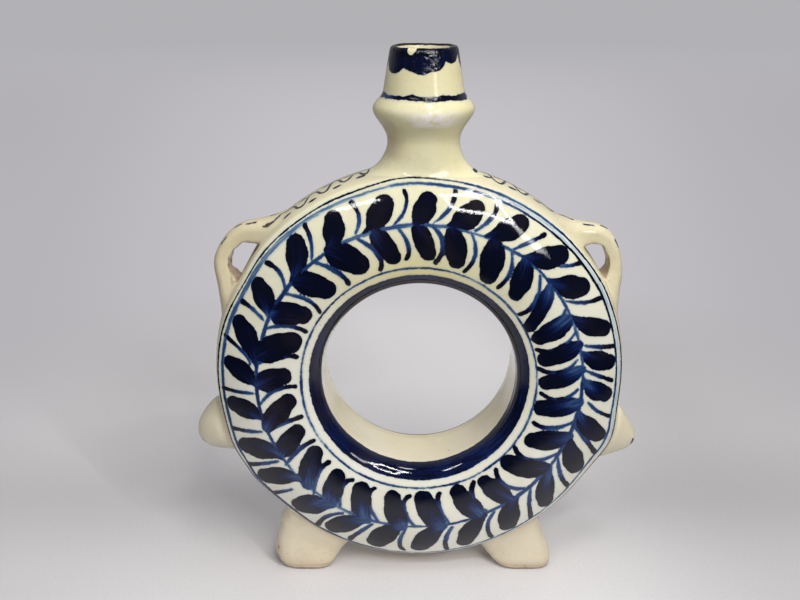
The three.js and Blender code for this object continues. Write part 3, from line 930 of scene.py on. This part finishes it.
def neck():
    phi = np.arange(NECK_AROUND) * 2 * math.pi / NECK_AROUND
    loops = []

    def level(a, b, height, hug):
        """A loop with half axes a and b; hug is 1 where it follows the ring and 0 where it is flat."""
        x, y = NECK_X + a * np.sin(phi), -b * np.cos(phi)
        deg = np.degrees(np.arcsin(np.clip(x / MIDDLE_R, -1, 1)))
        seat = RING_Z + np.sqrt(ring_r(deg, y) ** 2 - x**2)
        loops.append(np.stack([x, y, seat * hug + RING_TOP * (1 - hug) + height], 1))

    wider, sunk = FLARE_SUNK
    level(WAIST_R + FLARE_REACH + wider, FLARE_FRONT + wider, -sunk, 1.0)
    for t in np.linspace(0, 1, FLARE_STEPS):
        height = WAIST * (1 - math.cos(t * math.pi / 2)) + SKIRT_LIFT
        a = WAIST_R + FLARE_REACH * (1 - math.sin(t * math.pi / 2))
        b = FLARE_FRONT - 0.5 + 0.85 * math.exp(-height / 1.1)
        level(a, b, height, float(1 - smooth(0.35, 1.0, t)))
    heights, radii = np.array(NECK_PROFILE).T
    length = np.r_[0, np.cumsum(np.hypot(np.diff(heights), np.diff(radii)))]
    for at in np.arange(NECK_STEP, length[-1], NECK_STEP):
        radius, height = np.interp(at, length, radii), np.interp(at, length, heights)
        level(radius, radius - 1.15 * smooth(17.0, WAIST, height), height, 0.0)
    lip = len(loops)
    for radius, height in MOUTH_PROFILE:
        level(radius, radius, height, 0.0)
    level(BORE_R, BORE_R, -0.6, 1.0)
    points = np.array(loops)
    rows = len(loops)
    for k in (0, 1):
        soft = points[FLARE_STEPS + 2 : lip, :, k]
        soft[1:-1] = 0.25 * soft[:-2] + 0.5 * soft[1:-1] + 0.25 * soft[2:]
    flat = points.reshape(-1, 3)
    row = np.repeat(np.arange(rows), NECK_AROUND)
    out = np.stack([flat[:, 0] - NECK_X, flat[:, 1]], 1)
    size = np.hypot(*out.T)
    above = flat[:, 2] - RING_TOP
    deg = np.degrees(np.arctan2(flat[:, 0] - NECK_X, -flat[:, 1]))
    flat[:, 2] -= (0.1 + hand(deg, 91, 0.2)).clip(0, 0.4) * smooth(RIM - 2.0, RIM - 0.3, above)
    lift = NECK_LUMPS * lumps(flat) * smooth(1.0, 7.0, above) * (row < lip)
    flat[:, :2] += out / size[:, None] * lift[:, None]
    paint = Paint(len(flat))
    paint_skirt(paint, flat)
    paint_neck(paint, deg, above, np.maximum(size, 5.0), (row > FLARE_STEPS) & (row < lip + 3))
    ring_deg, ring_radius, _ = ring_place(flat)
    for side, turn, seed in FACES:
        root = np.flatnonzero((side * flat[:, 1] > 11.2) & (above < 1.5))
        chart = ring_deg[root] if side < 0 else wrap(turn - ring_deg[root])
        place, half, tone = edge_line(chart, seed)
        off = ring_radius[root] - face_r(place) - edge_bulge(ring_deg[root])
        paint.strokes += 1
        paint.put(root, half - np.abs(off), tone, off, np.radians(chart) * EDGE_R)
    # A pale patch low on the collar: white crust and a painted highlight
    crust_and_highlight_patch = np.exp(-((wrap(deg - 12) / 30) ** 4))
    paint.crust_and_highlight = crust_and_highlight_patch * smooth(14.6, 16.6, above) * smooth(21.4, 19.6, above)
    low = smooth(9.0, 3.0, above) * hump(deg, 12, 50)
    paint.crinkle[:] = 0.8 + 0.5 * smooth(RIM - 12, RIM - 9, above) + 1.2 * paint.crust_and_highlight + 1.2 * low
    # A brown stain with painted shade on the left side of the neck, the side away from the lights
    left_stain_and_shade = 0.27 * hump(deg, -60, 28) * smooth(1.0, 5.0, above) * smooth(22.0, 14.0, above)
    paint.wear_and_shade = np.where(row >= lip + 2, 0.16 + 0.84 * smooth(40.0, 30.0, above), left_stain_and_shade)
    faces = loop_faces(rows, NECK_AROUND, True)
    make("neck_glazed", "neck", flat, faces, paint, NECK_GLAZE)


# Dabs that hang from the rim: angle round the neck, half width, lowest point below the rim
DABS = [
    (-52, 5.0, 7.8), (-4, 5.6, 7.6), (-20, 4.4, 6.8), (14, 4.6, 6.9), (47, 4.8, 4.4),
    (92, 5.2, 7.2), (140, 5.4, 8.2), (186, 5.0, 6.4), (228, 5.4, 8.4), (266, 4.8, 6.8),
]
DAB_STEPS = 16
NOTCH = -23  # angle of a bare notch in the paint of the rim
BLOT = -18  # angle of a blot on the line of the collar
COLLAR_LINE = 25.5


def paint_neck(paint, deg, height, radius, shown):
    everywhere = np.flatnonzero(shown)

    def put(depth, strength, across, size):
        paint.strokes += 1
        values = (v[everywhere] for v in (depth, strength, across, np.radians(deg) * size))
        paint.put(everywhere, *values)

    t = np.linspace(0, 1, DAB_STEPS)
    for at, half, drop in DABS:
        low = RIM - drop + half * 0.8
        heights = RIM + 0.5 + (low - RIM - 0.5) * t
        chart = Chart(deg, height, radius, np.full(DAB_STEPS, float(at)), heights, 7.0)
        chart.near = chart.near[shown[chart.near]]
        paint.stroke(chart, np.full(DAB_STEPS, half), 1.16 - 0.3 * t**3)
    aside = np.radians(wrap(deg - NOTCH)) * radius
    gap = np.hypot(aside, np.minimum(height - RIM + 0.5, 0.0) * 0.85) - 1.5
    gap += 0.9 * lumps(np.stack([aside, height, np.zeros(len(deg))], 1) * 5.0)
    paint.ink[everywhere] = np.minimum(paint.ink[everywhere], gap[everywhere])
    rim = np.minimum(height - (RIM - 0.7 + hand(deg, 77, 0.2)), gap)
    put(rim, np.full(len(deg), 1.1), height, 12)
    line = COLLAR_LINE - 0.5 * np.cos(np.radians(deg)) + hand(deg, 81, 0.35)
    blot = hump(deg, BLOT, 7)
    depth = 0.8 + hand(deg, 82, 0.36) + 0.55 * blot - np.abs(height - line - 0.5 * blot)
    strength = 0.92 + hand(deg, 83, 0.14) - 0.4 * hump(deg, -62, 16)
    put(depth, strength, height - line, 14)


neck()


# Pieces put on by hand: loops of points that end in a skirt on the wall of the ring
SKIRT_SUNK = (0.5, 0.6)  # its edge under the wall: how much wider and how deep


def wall_hit(points, way):
    """Where points that move along a way meet the wall of the ring."""
    points = points.copy()
    for _ in range(12):
        deg, radius, y = ring_place(points)
        gap = radius - wall_r(deg, y)
        slope = (points[:, 0] * way[:, 0] + (points[:, 2] - RING_Z) * way[:, 2]) / radius
        points -= way * (gap / np.where(np.abs(slope) < 0.2, -0.2, slope))[:, None]
    return points


def on_wall(points, lift):
    """Places on the wall under points, lifted off it."""
    deg, _, y = ring_place(points)
    y = np.clip(y, -WALL_HALF + 0.5, WALL_HALF - 0.5)
    return on_ring(deg, wall_r(deg, y) + lift, y)


def weld(loop, way, width, steps=9):
    """Loops from a loop of points down to the wall: a rounded run into it, then an edge sunk under it."""
    way = np.broadcast_to(way, loop.shape)
    way = way / np.linalg.norm(way, axis=1)[:, None]
    width = np.broadcast_to(width, len(loop))[:, None]
    foot = wall_hit(loop, way)
    out = foot - foot.mean(0)
    out /= np.linalg.norm(out, axis=1)[:, None]
    skirt = on_wall(foot + out * width, SKIRT_LIFT)
    wider, sunk = SKIRT_SUNK
    loops = []
    for t in np.linspace(0, 1, steps + 1)[1:]:
        loops.append((1 - t) ** 2 * loop + 2 * t * (1 - t) * foot + t**2 * skirt)
    return loops + [on_wall(foot + out * (width + wider), -sunk)]


def cap(points, faces, first, count, flip):
    """A fan that closes the loop of count points that starts at index first."""
    centre = len(points)
    points.append(np.mean(points[first : first + count], axis=0))
    for i in range(count):
        a, b = first + i, first + (i + 1) % count
        faces.append((b, a, centre) if flip else (a, b, centre))


def assemble(loops):
    columns = len(loops[0])
    faces = loop_faces(len(loops), columns, False)
    points = [p for loop in loops for p in loop]
    cap(points, faces, 0, columns, True)
    cap(points, faces, (len(loops) - 1) * columns, columns, False)
    return np.array(points), faces


def clear_of_wall(points):
    """0 for points near the wall, up to 1 for points well off it."""
    return smooth(0.5, 4.0, height_over_wall(points))


def roughen(points, fade):
    """Moves points of a hand-made piece a little, less where fade is small."""
    shift = np.stack([lumps(points + k * 37.0) for k in range(3)], 1)
    return points + HAND_LUMPS * fade[:, None] * shift


def nearest_point(points, place):
    return points[np.argmin(np.linalg.norm(points - place, axis=1))]


def circle(count):
    """Cosines and sines of count even turns."""
    turn = np.arange(count) * 2 * math.pi / count
    return np.cos(turn), np.sin(turn)


def squared(value, power):
    """Cosines or sines of a circle, pushed out towards a square."""
    return np.sign(value) * np.abs(value) ** power


def spots(paint, points, marks):
    """Dabs of ink at points in space: middle, way, half length, half width."""
    for middle, way, length, half in marks:
        paint.strokes += 1
        offset = points - np.array(middle)
        way = np.array(way, float) / np.linalg.norm(way)
        along = np.clip(offset @ way, -length, length)
        depth = half - np.linalg.norm(offset - along[:, None] * way, axis=1)
        near = np.flatnonzero(depth > -4.0)
        paint.put(near, depth[near], np.full(len(near), 0.95), depth[near], along[near])


# Two rails of each ear, the edge of its hole and its outside: angle from the top and height over the wall
LEFT_RAILS = [
    (51.2, 1.5, 47.0, 6.0), (52.1, 3.0, 49.0, 8.3), (53.5, 4.2, 51.9, 10.2), (55.6, 5.1, 55.2, 11.1),
    (58.0, 5.2, 58.8, 10.8), (60.0, 4.3, 61.8, 9.6), (61.5, 2.2, 64.4, 7.5),
]
RIGHT_RAILS = [
    (52.0, 1.4, 47.2, 5.2), (52.6, 2.9, 49.2, 8.0), (53.7, 4.0, 51.6, 10.0), (55.3, 5.0, 54.3, 10.9),
    (57.3, 5.1, 57.6, 10.2), (59.3, 4.0, 60.6, 8.7), (60.8, 2.6, 63.4, 7.3), (61.5, 1.5, 65.2, 6.2),
]
EAR_HALF = 4.5  # half depth at the middle of the strap
EAR_FLARE = 1.3  # how much more at its ends
EAR_SKIRT = 1.2  # width of its skirt at the hole
EAR_SPREAD = 3.4  # how much wider that is outside
EAR_ROUND = (0.84, 0.3)  # how round it is outside and at the hole; 1 is an ellipse
EAR_SOFT = 0.45  # how far its rails are smoothed
EAR_PASSES = 40  # how often its loops are
EAR_LOOPS = 52
EAR_AROUND = 80
EAR_RUN = 14  # loops from the strap to the wall
# Dashes along an ear: loop, Y, half length
EAR_DASHES = [(2, -3.2, 1.7), (13, -1.5, 1.2), (26, -3.2, 1.6), (40, -1.5, 1.5)]


def ear(name, cad_node, side, rails, landing, crumble, stain):
    """landing: angles where the upper and lower ends meet the wall, outside and at the hole;
    crumble: how ragged the edge of the hole is; stain: least stain and worn glaze all over it."""
    rails = np.array(rails)
    along = np.linspace(0, len(rails) - 1, EAR_LOOPS)
    kernel = np.exp(-((along[:, None] - np.arange(-2, len(rails) + 2)[None, :]) ** 2) / EAR_SOFT)
    kernel /= kernel.sum(1)[:, None]
    before = [2 * rails[0] - rails[2], 2 * rails[0] - rails[1]]
    after = [2 * rails[-1] - rails[-2], 2 * rails[-1] - rails[-3]]
    hole_deg, hole_h, back_deg, back_h = (kernel @ np.r_[before, rails, after]).T
    inner = on_ring(side * hole_deg, MIDDLE_R + hole_h, 0.0)
    outer = on_ring(side * back_deg, MIDDLE_R + back_h, 0.0)
    middle = (inner + outer) / 2
    half = np.linalg.norm(outer - inner, axis=1) / 2
    across = (outer - inner) / half[:, None] / 2
    tangent = np.gradient(middle, axis=0)
    tangent /= np.linalg.norm(tangent, axis=1)[:, None]
    deep = np.array([0.0, 1.0, 0.0])
    c, s = circle(EAR_AROUND)
    power = np.where(c > 0, *EAR_ROUND)
    c, s = squared(c, power), squared(s, power)
    reach = EAR_HALF + EAR_FLARE * np.linspace(-1, 1, EAR_LOOPS) ** 2
    loops = []
    for m, n, h, w in zip(middle, across, half, reach):
        loops.append(m + np.outer(c * h, n) + np.outer(s * w, deep))
    outward = smooth(-1.0, 1.0, c)
    runs = []
    for k, (far, near) in zip((0, -1), landing):
        far = on_ring(side * far, MIDDLE_R, 0.0) - outer[k]
        near = on_ring(side * near, MIDDLE_R, 0.0) - inner[k]
        way = np.outer(outward, far) + np.outer(1 - outward, near)
        runs.append(weld(loops[k], way, EAR_SKIRT + EAR_SPREAD * outward, EAR_RUN))
    rows = np.array(runs[0][::-1] + loops + runs[1])
    for _ in range(EAR_PASSES):
        rows[3:-3] = 0.25 * rows[2:-4] + 0.5 * rows[3:-3] + 0.25 * rows[4:-2]
    points, faces = assemble(list(rows))
    fade = clear_of_wall(points)
    closest = np.linalg.norm(points[:, None, ::2] - middle[None, :, ::2], axis=2).argmin(1)
    under = -np.einsum("ij,ij->i", points - middle[closest], across[closest]) / half[closest]
    crumbs = crumble * fade * smooth(0.7, 1.0, under) * lumps(points * 5.0 + side * 11.0)
    points = roughen(points, fade) + crumbs[:, None] * across[closest]
    paint = Paint(len(points))
    paint_skirt(paint, points)
    marks = []
    for k, y, length in EAR_DASHES:
        out = across[k] * half[k] * (1 - (abs(y) / reach[k]) ** 2.4) ** 0.42
        marks.append((middle[k] + out + (0.0, y, 0.0), tangent[k], length, 0.52))
    spots(paint, points, marks)
    # Brown where the strap faces its hole: bare clay and painted shade in the tunnel
    paint.wear_and_shade = 0.44 * smooth(0.86, 0.97, under) * smooth(0.2, 0.9, height_over_wall(points))
    paint.wear_and_shade = np.maximum(paint.wear_and_shade, stain)
    make(name, cad_node, points, faces, paint, HAND_GLAZE)


ear("ear_left_glazed", "ear_left", -1, LEFT_RAILS, ((41.6, 50.5), (71.2, 62.4)), 0.7, 0.14)
ear("ear_right_glazed", "ear_right", 1, RIGHT_RAILS, ((42.4, 51.4), (71.8, 62.1)), 0.4, 0.0)

# Nose of each lug: height over the wall, half length round the ring, half depth
LEFT_LUG = [
    (13.2, 1.0, 0.9), (13.0, 2.1, 1.9), (12.4, 3.7, 3.2), (11.4, 5.2, 4.4), (10.0, 6.6, 5.6),
    (8.0, 8.1, 6.9), (6.0, 9.3, 8.0), (4.0, 10.4, 8.9), (2.8, 11.0, 9.3),
]
RIGHT_LUG = [
    (13.2, 0.9, 0.9), (12.9, 2.0, 1.9), (12.2, 3.4, 3.0), (11.0, 4.7, 4.2), (9.4, 6.1, 5.4),
    (7.4, 7.6, 6.6), (5.4, 9.0, 7.8), (3.8, 10.3, 8.8), (2.8, 11.0, 9.3),
]
LUG_SKIRT = 3.0
LUG_LOOPS = 26
LUG_AROUND = 64


def lug(name, cad_node, side, nose, base_deg, droop, spot, stain):
    """droop: how far its nose hangs; spot: degrees from the nose to its dab of ink; stain: how much its
    glaze is stained and worn."""
    c, s = circle(LUG_AROUND)
    steps = np.array(nose)
    loops = []
    for at in np.linspace(0, len(steps) - 1, LUG_LOOPS):
        height, half_long, half_deep = (np.interp(at, np.arange(len(steps)), steps[:, k]) for k in range(3))
        middle = droop * smooth(3.0, 13.0, height)
        radius = MIDDLE_R + height
        deg = base_deg + np.degrees((middle + half_long * c) / radius)
        loops.append(on_ring(side * deg, radius, half_deep * s))
    inward = on_ring(side * base_deg, -1.0, 0.0) - on_ring(side * base_deg, 0.0, 0.0)
    points, faces = assemble(loops + weld(loops[-1], inward, LUG_SKIRT))
    points = roughen(points, clear_of_wall(points))
    paint = Paint(len(points))
    tip_deg = base_deg + math.degrees(droop / 90) + spot
    tip = nearest_point(points, on_ring(side * tip_deg, MIDDLE_R + 12.0, -3.4))
    spots(paint, points, [(tip, (0.0, 0.3, 1.0), 0.5, 0.8)])
    paint.wear_and_shade[:] = stain
    make(name, cad_node, points, faces, paint, HAND_GLAZE)


lug("lug_left_glazed", "lug_left", -1, LEFT_LUG, 108.2, 1.0, 1.2, 0.1)
lug("lug_right_glazed", "lug_right", 1, RIGHT_LUG, 110.6, 0.0, 0.0, 0.04)

FOOT_LOOPS = 30
FOOT_AROUND = 72
FOOT_SQUARE = 0.54
SOLE_DEEP = 11.2  # half depth of the sole
ROOT_DEEP = 10.4  # and of the loop near the wall
ROOT_EXTRA = 1.8  # how much longer that loop is towards the middle
SIDE_SWELL = 0.6  # how far the front and back of a foot swell
INNER_SWELL = 0.5  # and its inner side
FOOT_SKIRT = 3.4
# Rounded edge of the sole: inset and height
SOLE_EDGE = [(0.5, 0.0), (0.2, 0.2), (0.05, 0.6)]
# Dabs on the outer corner of the left foot: distance past the sole, height, size
FOOT_DABS = [(3.0, 4.0, 0.6), (2.6, 8.5, 0.45), (1.5, 1.8, 0.5)]


def foot(name, cad_node, side, sole, root, root_middle, belly, dabs):
    """sole: from and to in X; root: half length of the loop near the wall; root_middle: its place in
    X and Z; belly: how far its outer side swells."""
    c, s = (squared(v, FOOT_SQUARE) for v in circle(FOOT_AROUND))
    middle, half = (sole[0] + sole[1]) / 2, (sole[1] - sole[0]) / 2

    def sole_loop(inset, lift):
        x, y = middle + (half - inset) * c, (SOLE_DEEP - inset) * s
        return np.stack([x, y, np.full(FOOT_AROUND, lift)], 1)

    angle = math.atan2(root_middle[0], RING_Z - root_middle[1])
    slope = np.array([math.cos(angle), 0.0, math.sin(angle)])
    span_c = np.where(c > 0, root, root + ROOT_EXTRA) * c
    top = np.array([root_middle[0], 0.0, root_middle[1]]) + np.outer(span_c, slope)
    top[:, 1] += ROOT_DEEP * s
    loops = [sole_loop(inset, lift) for inset, lift in SOLE_EDGE]
    for t in np.linspace(0.08, 1, FOOT_LOOPS):
        loop = sole_loop(0.0, 0.0) * (1 - t) + top * t
        swell = 6.75 * t * (1 - t) ** 2  # 1 at a third of its height
        loop[:, 1] += SIDE_SWELL * swell * s
        loop[:, 0] += swell * np.where(c > 0, belly, INNER_SWELL) * c
        loops.append(loop)
    radial = -np.array([root_middle[0], 0.0, root_middle[1] - RING_Z])
    loops = loops + weld(loops[-1], radial, FOOT_SKIRT)
    for loop in loops:
        loop[:, 0] *= side
    points, faces = assemble(loops)
    fade = clear_of_wall(points) * smooth(0.0, 5.0, points[:, 2])
    points = roughen(points, fade)
    paint = Paint(len(points))
    for out, at, size in dabs:
        corner = nearest_point(points, (side * (sole[1] + out), -9.5, at))
        spots(paint, points, [(corner, (0.0, 0.2, 1.0), 1.2 * size, size)])
    x, z = np.abs(points[:, 0]), points[:, 2]
    seam = 0.5 * np.exp(-(((z - 2.1 - 0.5 * lumps(points * 1.7)) / 0.4) ** 2))
    outer = 0.3 * smooth(sole[1] - 3.5, sole[1] + 1.5, x) * smooth(16.0, 9.0, z)
    paint.wear_and_shade = np.max([smooth(1.6, 0.2, z), 0.17 + 0.18 * smooth(5.0, 0.5, z), seam, outer], axis=0)
    make(name, cad_node, points, faces, paint, HAND_GLAZE)


foot("foot_left_glazed", "foot_left", -1, (34.6, 53.2), 12.8, (43.2, 12.6), 3.4, FOOT_DABS)
foot("foot_right_glazed", "foot_right", 1, (32.2, 52.2), 11.4, (38.4, 11.2), 1.4, [])


# Stage, in metres
GROUND_NEAR = (0.53, 0.51, 0.54)
GROUND_FAR = (0.445, 0.44, 0.46)
FLOOR_R = 6.0
FLOOR_SIDES = 96
CLOTH = [(0.3, (0.645, 0.632, 0.65)), (0.7, (0.685, 0.672, 0.69))]
SHADOW_MIDDLE = (0.0, 0.1, 0.0)


def shown_pale(tree, behind, rest):
    """1 for the camera and, behind the flask, weaker for reflections; the rest for other light."""
    path = node(tree, "ShaderNodeLightPath")
    glossy = path.outputs["Is Glossy Ray"]
    mirrored = times(tree, glossy, times(tree, behind, 0.6))
    seen = math_node(tree, "MAXIMUM", path.outputs["Is Camera Ray"], path.outputs["Is Transmission Ray"])
    dim = times_plus(tree, glossy, -0.65 * rest, rest)
    return math_node(tree, "MAXIMUM", math_node(tree, "MAXIMUM", seen, mirrored), dim)


def ground():
    """A round floor that takes shadows near the flask and fades into a pale ground further off."""
    turns = [2 * math.pi * k / FLOOR_SIDES for k in range(FLOOR_SIDES)]
    rim = [(FLOOR_R * math.cos(turn), FLOOR_R * math.sin(turn), 0.0) for turn in turns]
    mesh = bpy.data.meshes.new("floor")
    mesh.from_pydata(rim, [], [tuple(range(FLOOR_SIDES))])
    floor = bpy.data.objects.new("floor", mesh)
    bpy.context.scene.collection.objects.link(floor)
    material, tree, shader = new_material("pale_floor")
    place = node(tree, "ShaderNodeTexCoord").outputs["Object"]
    flat = node(tree, "ShaderNodeSeparateXYZ", {"Vector": place})
    x, y = flat.outputs["X"], flat.outputs["Y"]
    aside = math_node(tree, "ABSOLUTE", x)
    # Painted shade in the floor's colour: lighter in front, darker just behind the flask, to the sides and
    # on the right, where its shadow falls
    shade = times(tree, span(tree, y, -0.04, 0.06, 1.09, 0.86), span(tree, x, 0.0, 0.14, 1.0, 0.82))
    shade = times(tree, shade, span(tree, aside, 0.03, 0.15, 1.06, 0.88))
    shade = times(tree, shade, span(tree, y, 0.03, 0.13, 1.0, 1.24))
    cloth = mix(tree, 1.0, ramp(tree, noise(tree, place, 900.0, 2.0), CLOTH), shade, "MULTIPLY")
    tree.links.new(cloth, shader.inputs["Base Color"])
    shader.inputs["Roughness"].default_value = 0.85
    ends = {0: place, 1: SHADOW_MIDDLE}
    away = node(tree, "ShaderNodeVectorMath", ends, operation="DISTANCE").outputs["Value"]
    # The pale ground is painted lighter near the flask and in the middle, and darker further off and to the
    # sides
    pale = ramp(tree, math_node(tree, "DIVIDE", away, 3.0), [(0.12, GROUND_NEAR), (0.8, GROUND_FAR)])
    ahead = math_node(tree, "ADD", math_node(tree, "ABSOLUTE", y), 0.45)
    fan = span(tree, math_node(tree, "DIVIDE", aside, ahead), 0.05, 0.36, 1.1, 0.9)
    pale = mix(tree, span(tree, away, 0.9, 2.4, 1.0, 0.0), pale, fan, "MULTIPLY")
    strength = shown_pale(tree, span(tree, y, 0.0, 0.3), 0.1)
    glow = node(tree, "ShaderNodeEmission", {"Color": pale, "Strength": strength})
    inputs = {0: span(tree, away, 0.16, 0.31), 1: shader.outputs[0], 2: glow.outputs[0]}
    both = node(tree, "ShaderNodeMixShader", inputs)
    tree.links.new(both.outputs[0], tree.nodes["Material Output"].inputs["Surface"])
    mesh.materials.append(material)


ground()


def towards(place, aim):
    ahead = np.array(aim) - np.array(place)
    return ahead / np.linalg.norm(ahead)


def area_light(name, place, aim, size, power, colour):
    data = bpy.data.lights.new(name, "AREA")
    data.shape, data.size, data.size_y = "RECTANGLE", size[0], size[1]
    data.energy, data.color = power, colour
    lamp = bpy.data.objects.new(name, data)
    bpy.context.scene.collection.objects.link(lamp)
    lamp.location = place
    ahead = towards(place, aim)
    lamp.rotation_euler = (math.acos(-ahead[2]), 0.0, math.atan2(-ahead[0], ahead[1]))
    return lamp


def frame_light(name, place, aim, width, height, bar, power, colour):
    """A soft light shaped like a window frame: four bars round a dark middle."""
    ahead = towards(place, aim)
    right = np.cross(ahead, (0.0, 0.0, 1.0))
    right /= np.linalg.norm(right)
    up = np.cross(right, ahead)
    bars = [(0, height / 2, width, bar), (0, -height / 2, width, bar)]
    bars += [(-width / 2, 0, bar, height), (width / 2, 0, bar, height)]
    total = sum(w * h for _, _, w, h in bars)
    for k, (x, y, w, h) in enumerate(bars):
        at = np.array(place) + right * x + up * y
        area_light(f"{name}_{k}", tuple(at), tuple(at + ahead), (w, h), power * w * h / total, colour)


WARM, SOFT, WHITE = (1.0, 0.985, 0.95), (1.0, 0.99, 0.97), (1.0, 1.0, 1.0)
frame_light("key", (0.31, -0.69, 0.7), (0.0, 0.0, 0.1), 0.34, 0.28, 0.022, 6.0, WARM)
# Other lamps: name, place, aim, size, power, colour and whether reflections show it
LAMPS = [
    ("low_window", (0.43, -0.62, 0.4), (0.0, 0.0, 0.15), (0.06, 0.22), 0.45, SOFT, True),
    ("window", (-0.34, -0.68, 0.76), (0.0, 0.0, 0.12), (0.26, 0.035), 0.9, SOFT, True),
    ("side", (0.75, -0.45, 0.85), (0.0, 0.0, 0.12), (0.5, 0.5), 0.6, SOFT, False),
    ("fill", (-0.75, -0.6, 0.55), (0.0, 0.0, 0.1), (0.5, 0.5), 1.65, SOFT, False),
    ("back", (0.3, 0.95, 0.75), (0.0, 0.0, 0.1), (0.8, 0.6), 2.8, SOFT, False),
    ("overhead", (0.4, 0.0, 1.3), (0.0, 0.05, 0.0), (1.3, 1.0), 6.2, WHITE, False),
    ("ceiling", (0.2, -0.42, 1.2), (0.0, 0.0, 0.1), (0.16, 0.16), 1.3, SOFT, True),
]
for *lamp_values, mirrored in LAMPS:
    area_light(*lamp_values).visible_glossy = mirrored

world = bpy.data.worlds.new("studio")
world.use_nodes = True
sky_tree = world.node_tree
sky = sky_tree.nodes["Background"]
sky.inputs["Color"].default_value = (*GROUND_FAR, 1.0)
outlook = node(sky_tree, "ShaderNodeTexCoord").outputs["Generated"]
direction = node(sky_tree, "ShaderNodeSeparateXYZ", {"Vector": outlook})
sky_strength = shown_pale(sky_tree, span(sky_tree, direction.outputs["Y"], 0.0, 0.5), 0.25)
sky_tree.links.new(sky_strength, sky.inputs["Strength"])
bpy.context.scene.world = world

CAMERA_PLACE = (-0.0072, -0.3819, 0.234)
CAMERA_DOWN = 18.2  # degrees below level
LENS = 48.4
SENSOR = 36.0
camera_data = bpy.data.cameras.new("camera")
camera_data.lens = LENS
camera_data.sensor_width = SENSOR
camera_data.clip_start = 0.01
camera = bpy.data.objects.new("camera", camera_data)
camera.location = CAMERA_PLACE
camera.rotation_euler = (math.radians(90 - CAMERA_DOWN), 0.0, 0.0)
bpy.context.scene.collection.objects.link(camera)
bpy.context.scene.camera = camera
bpy.context.scene.view_settings.view_transform = "Standard"
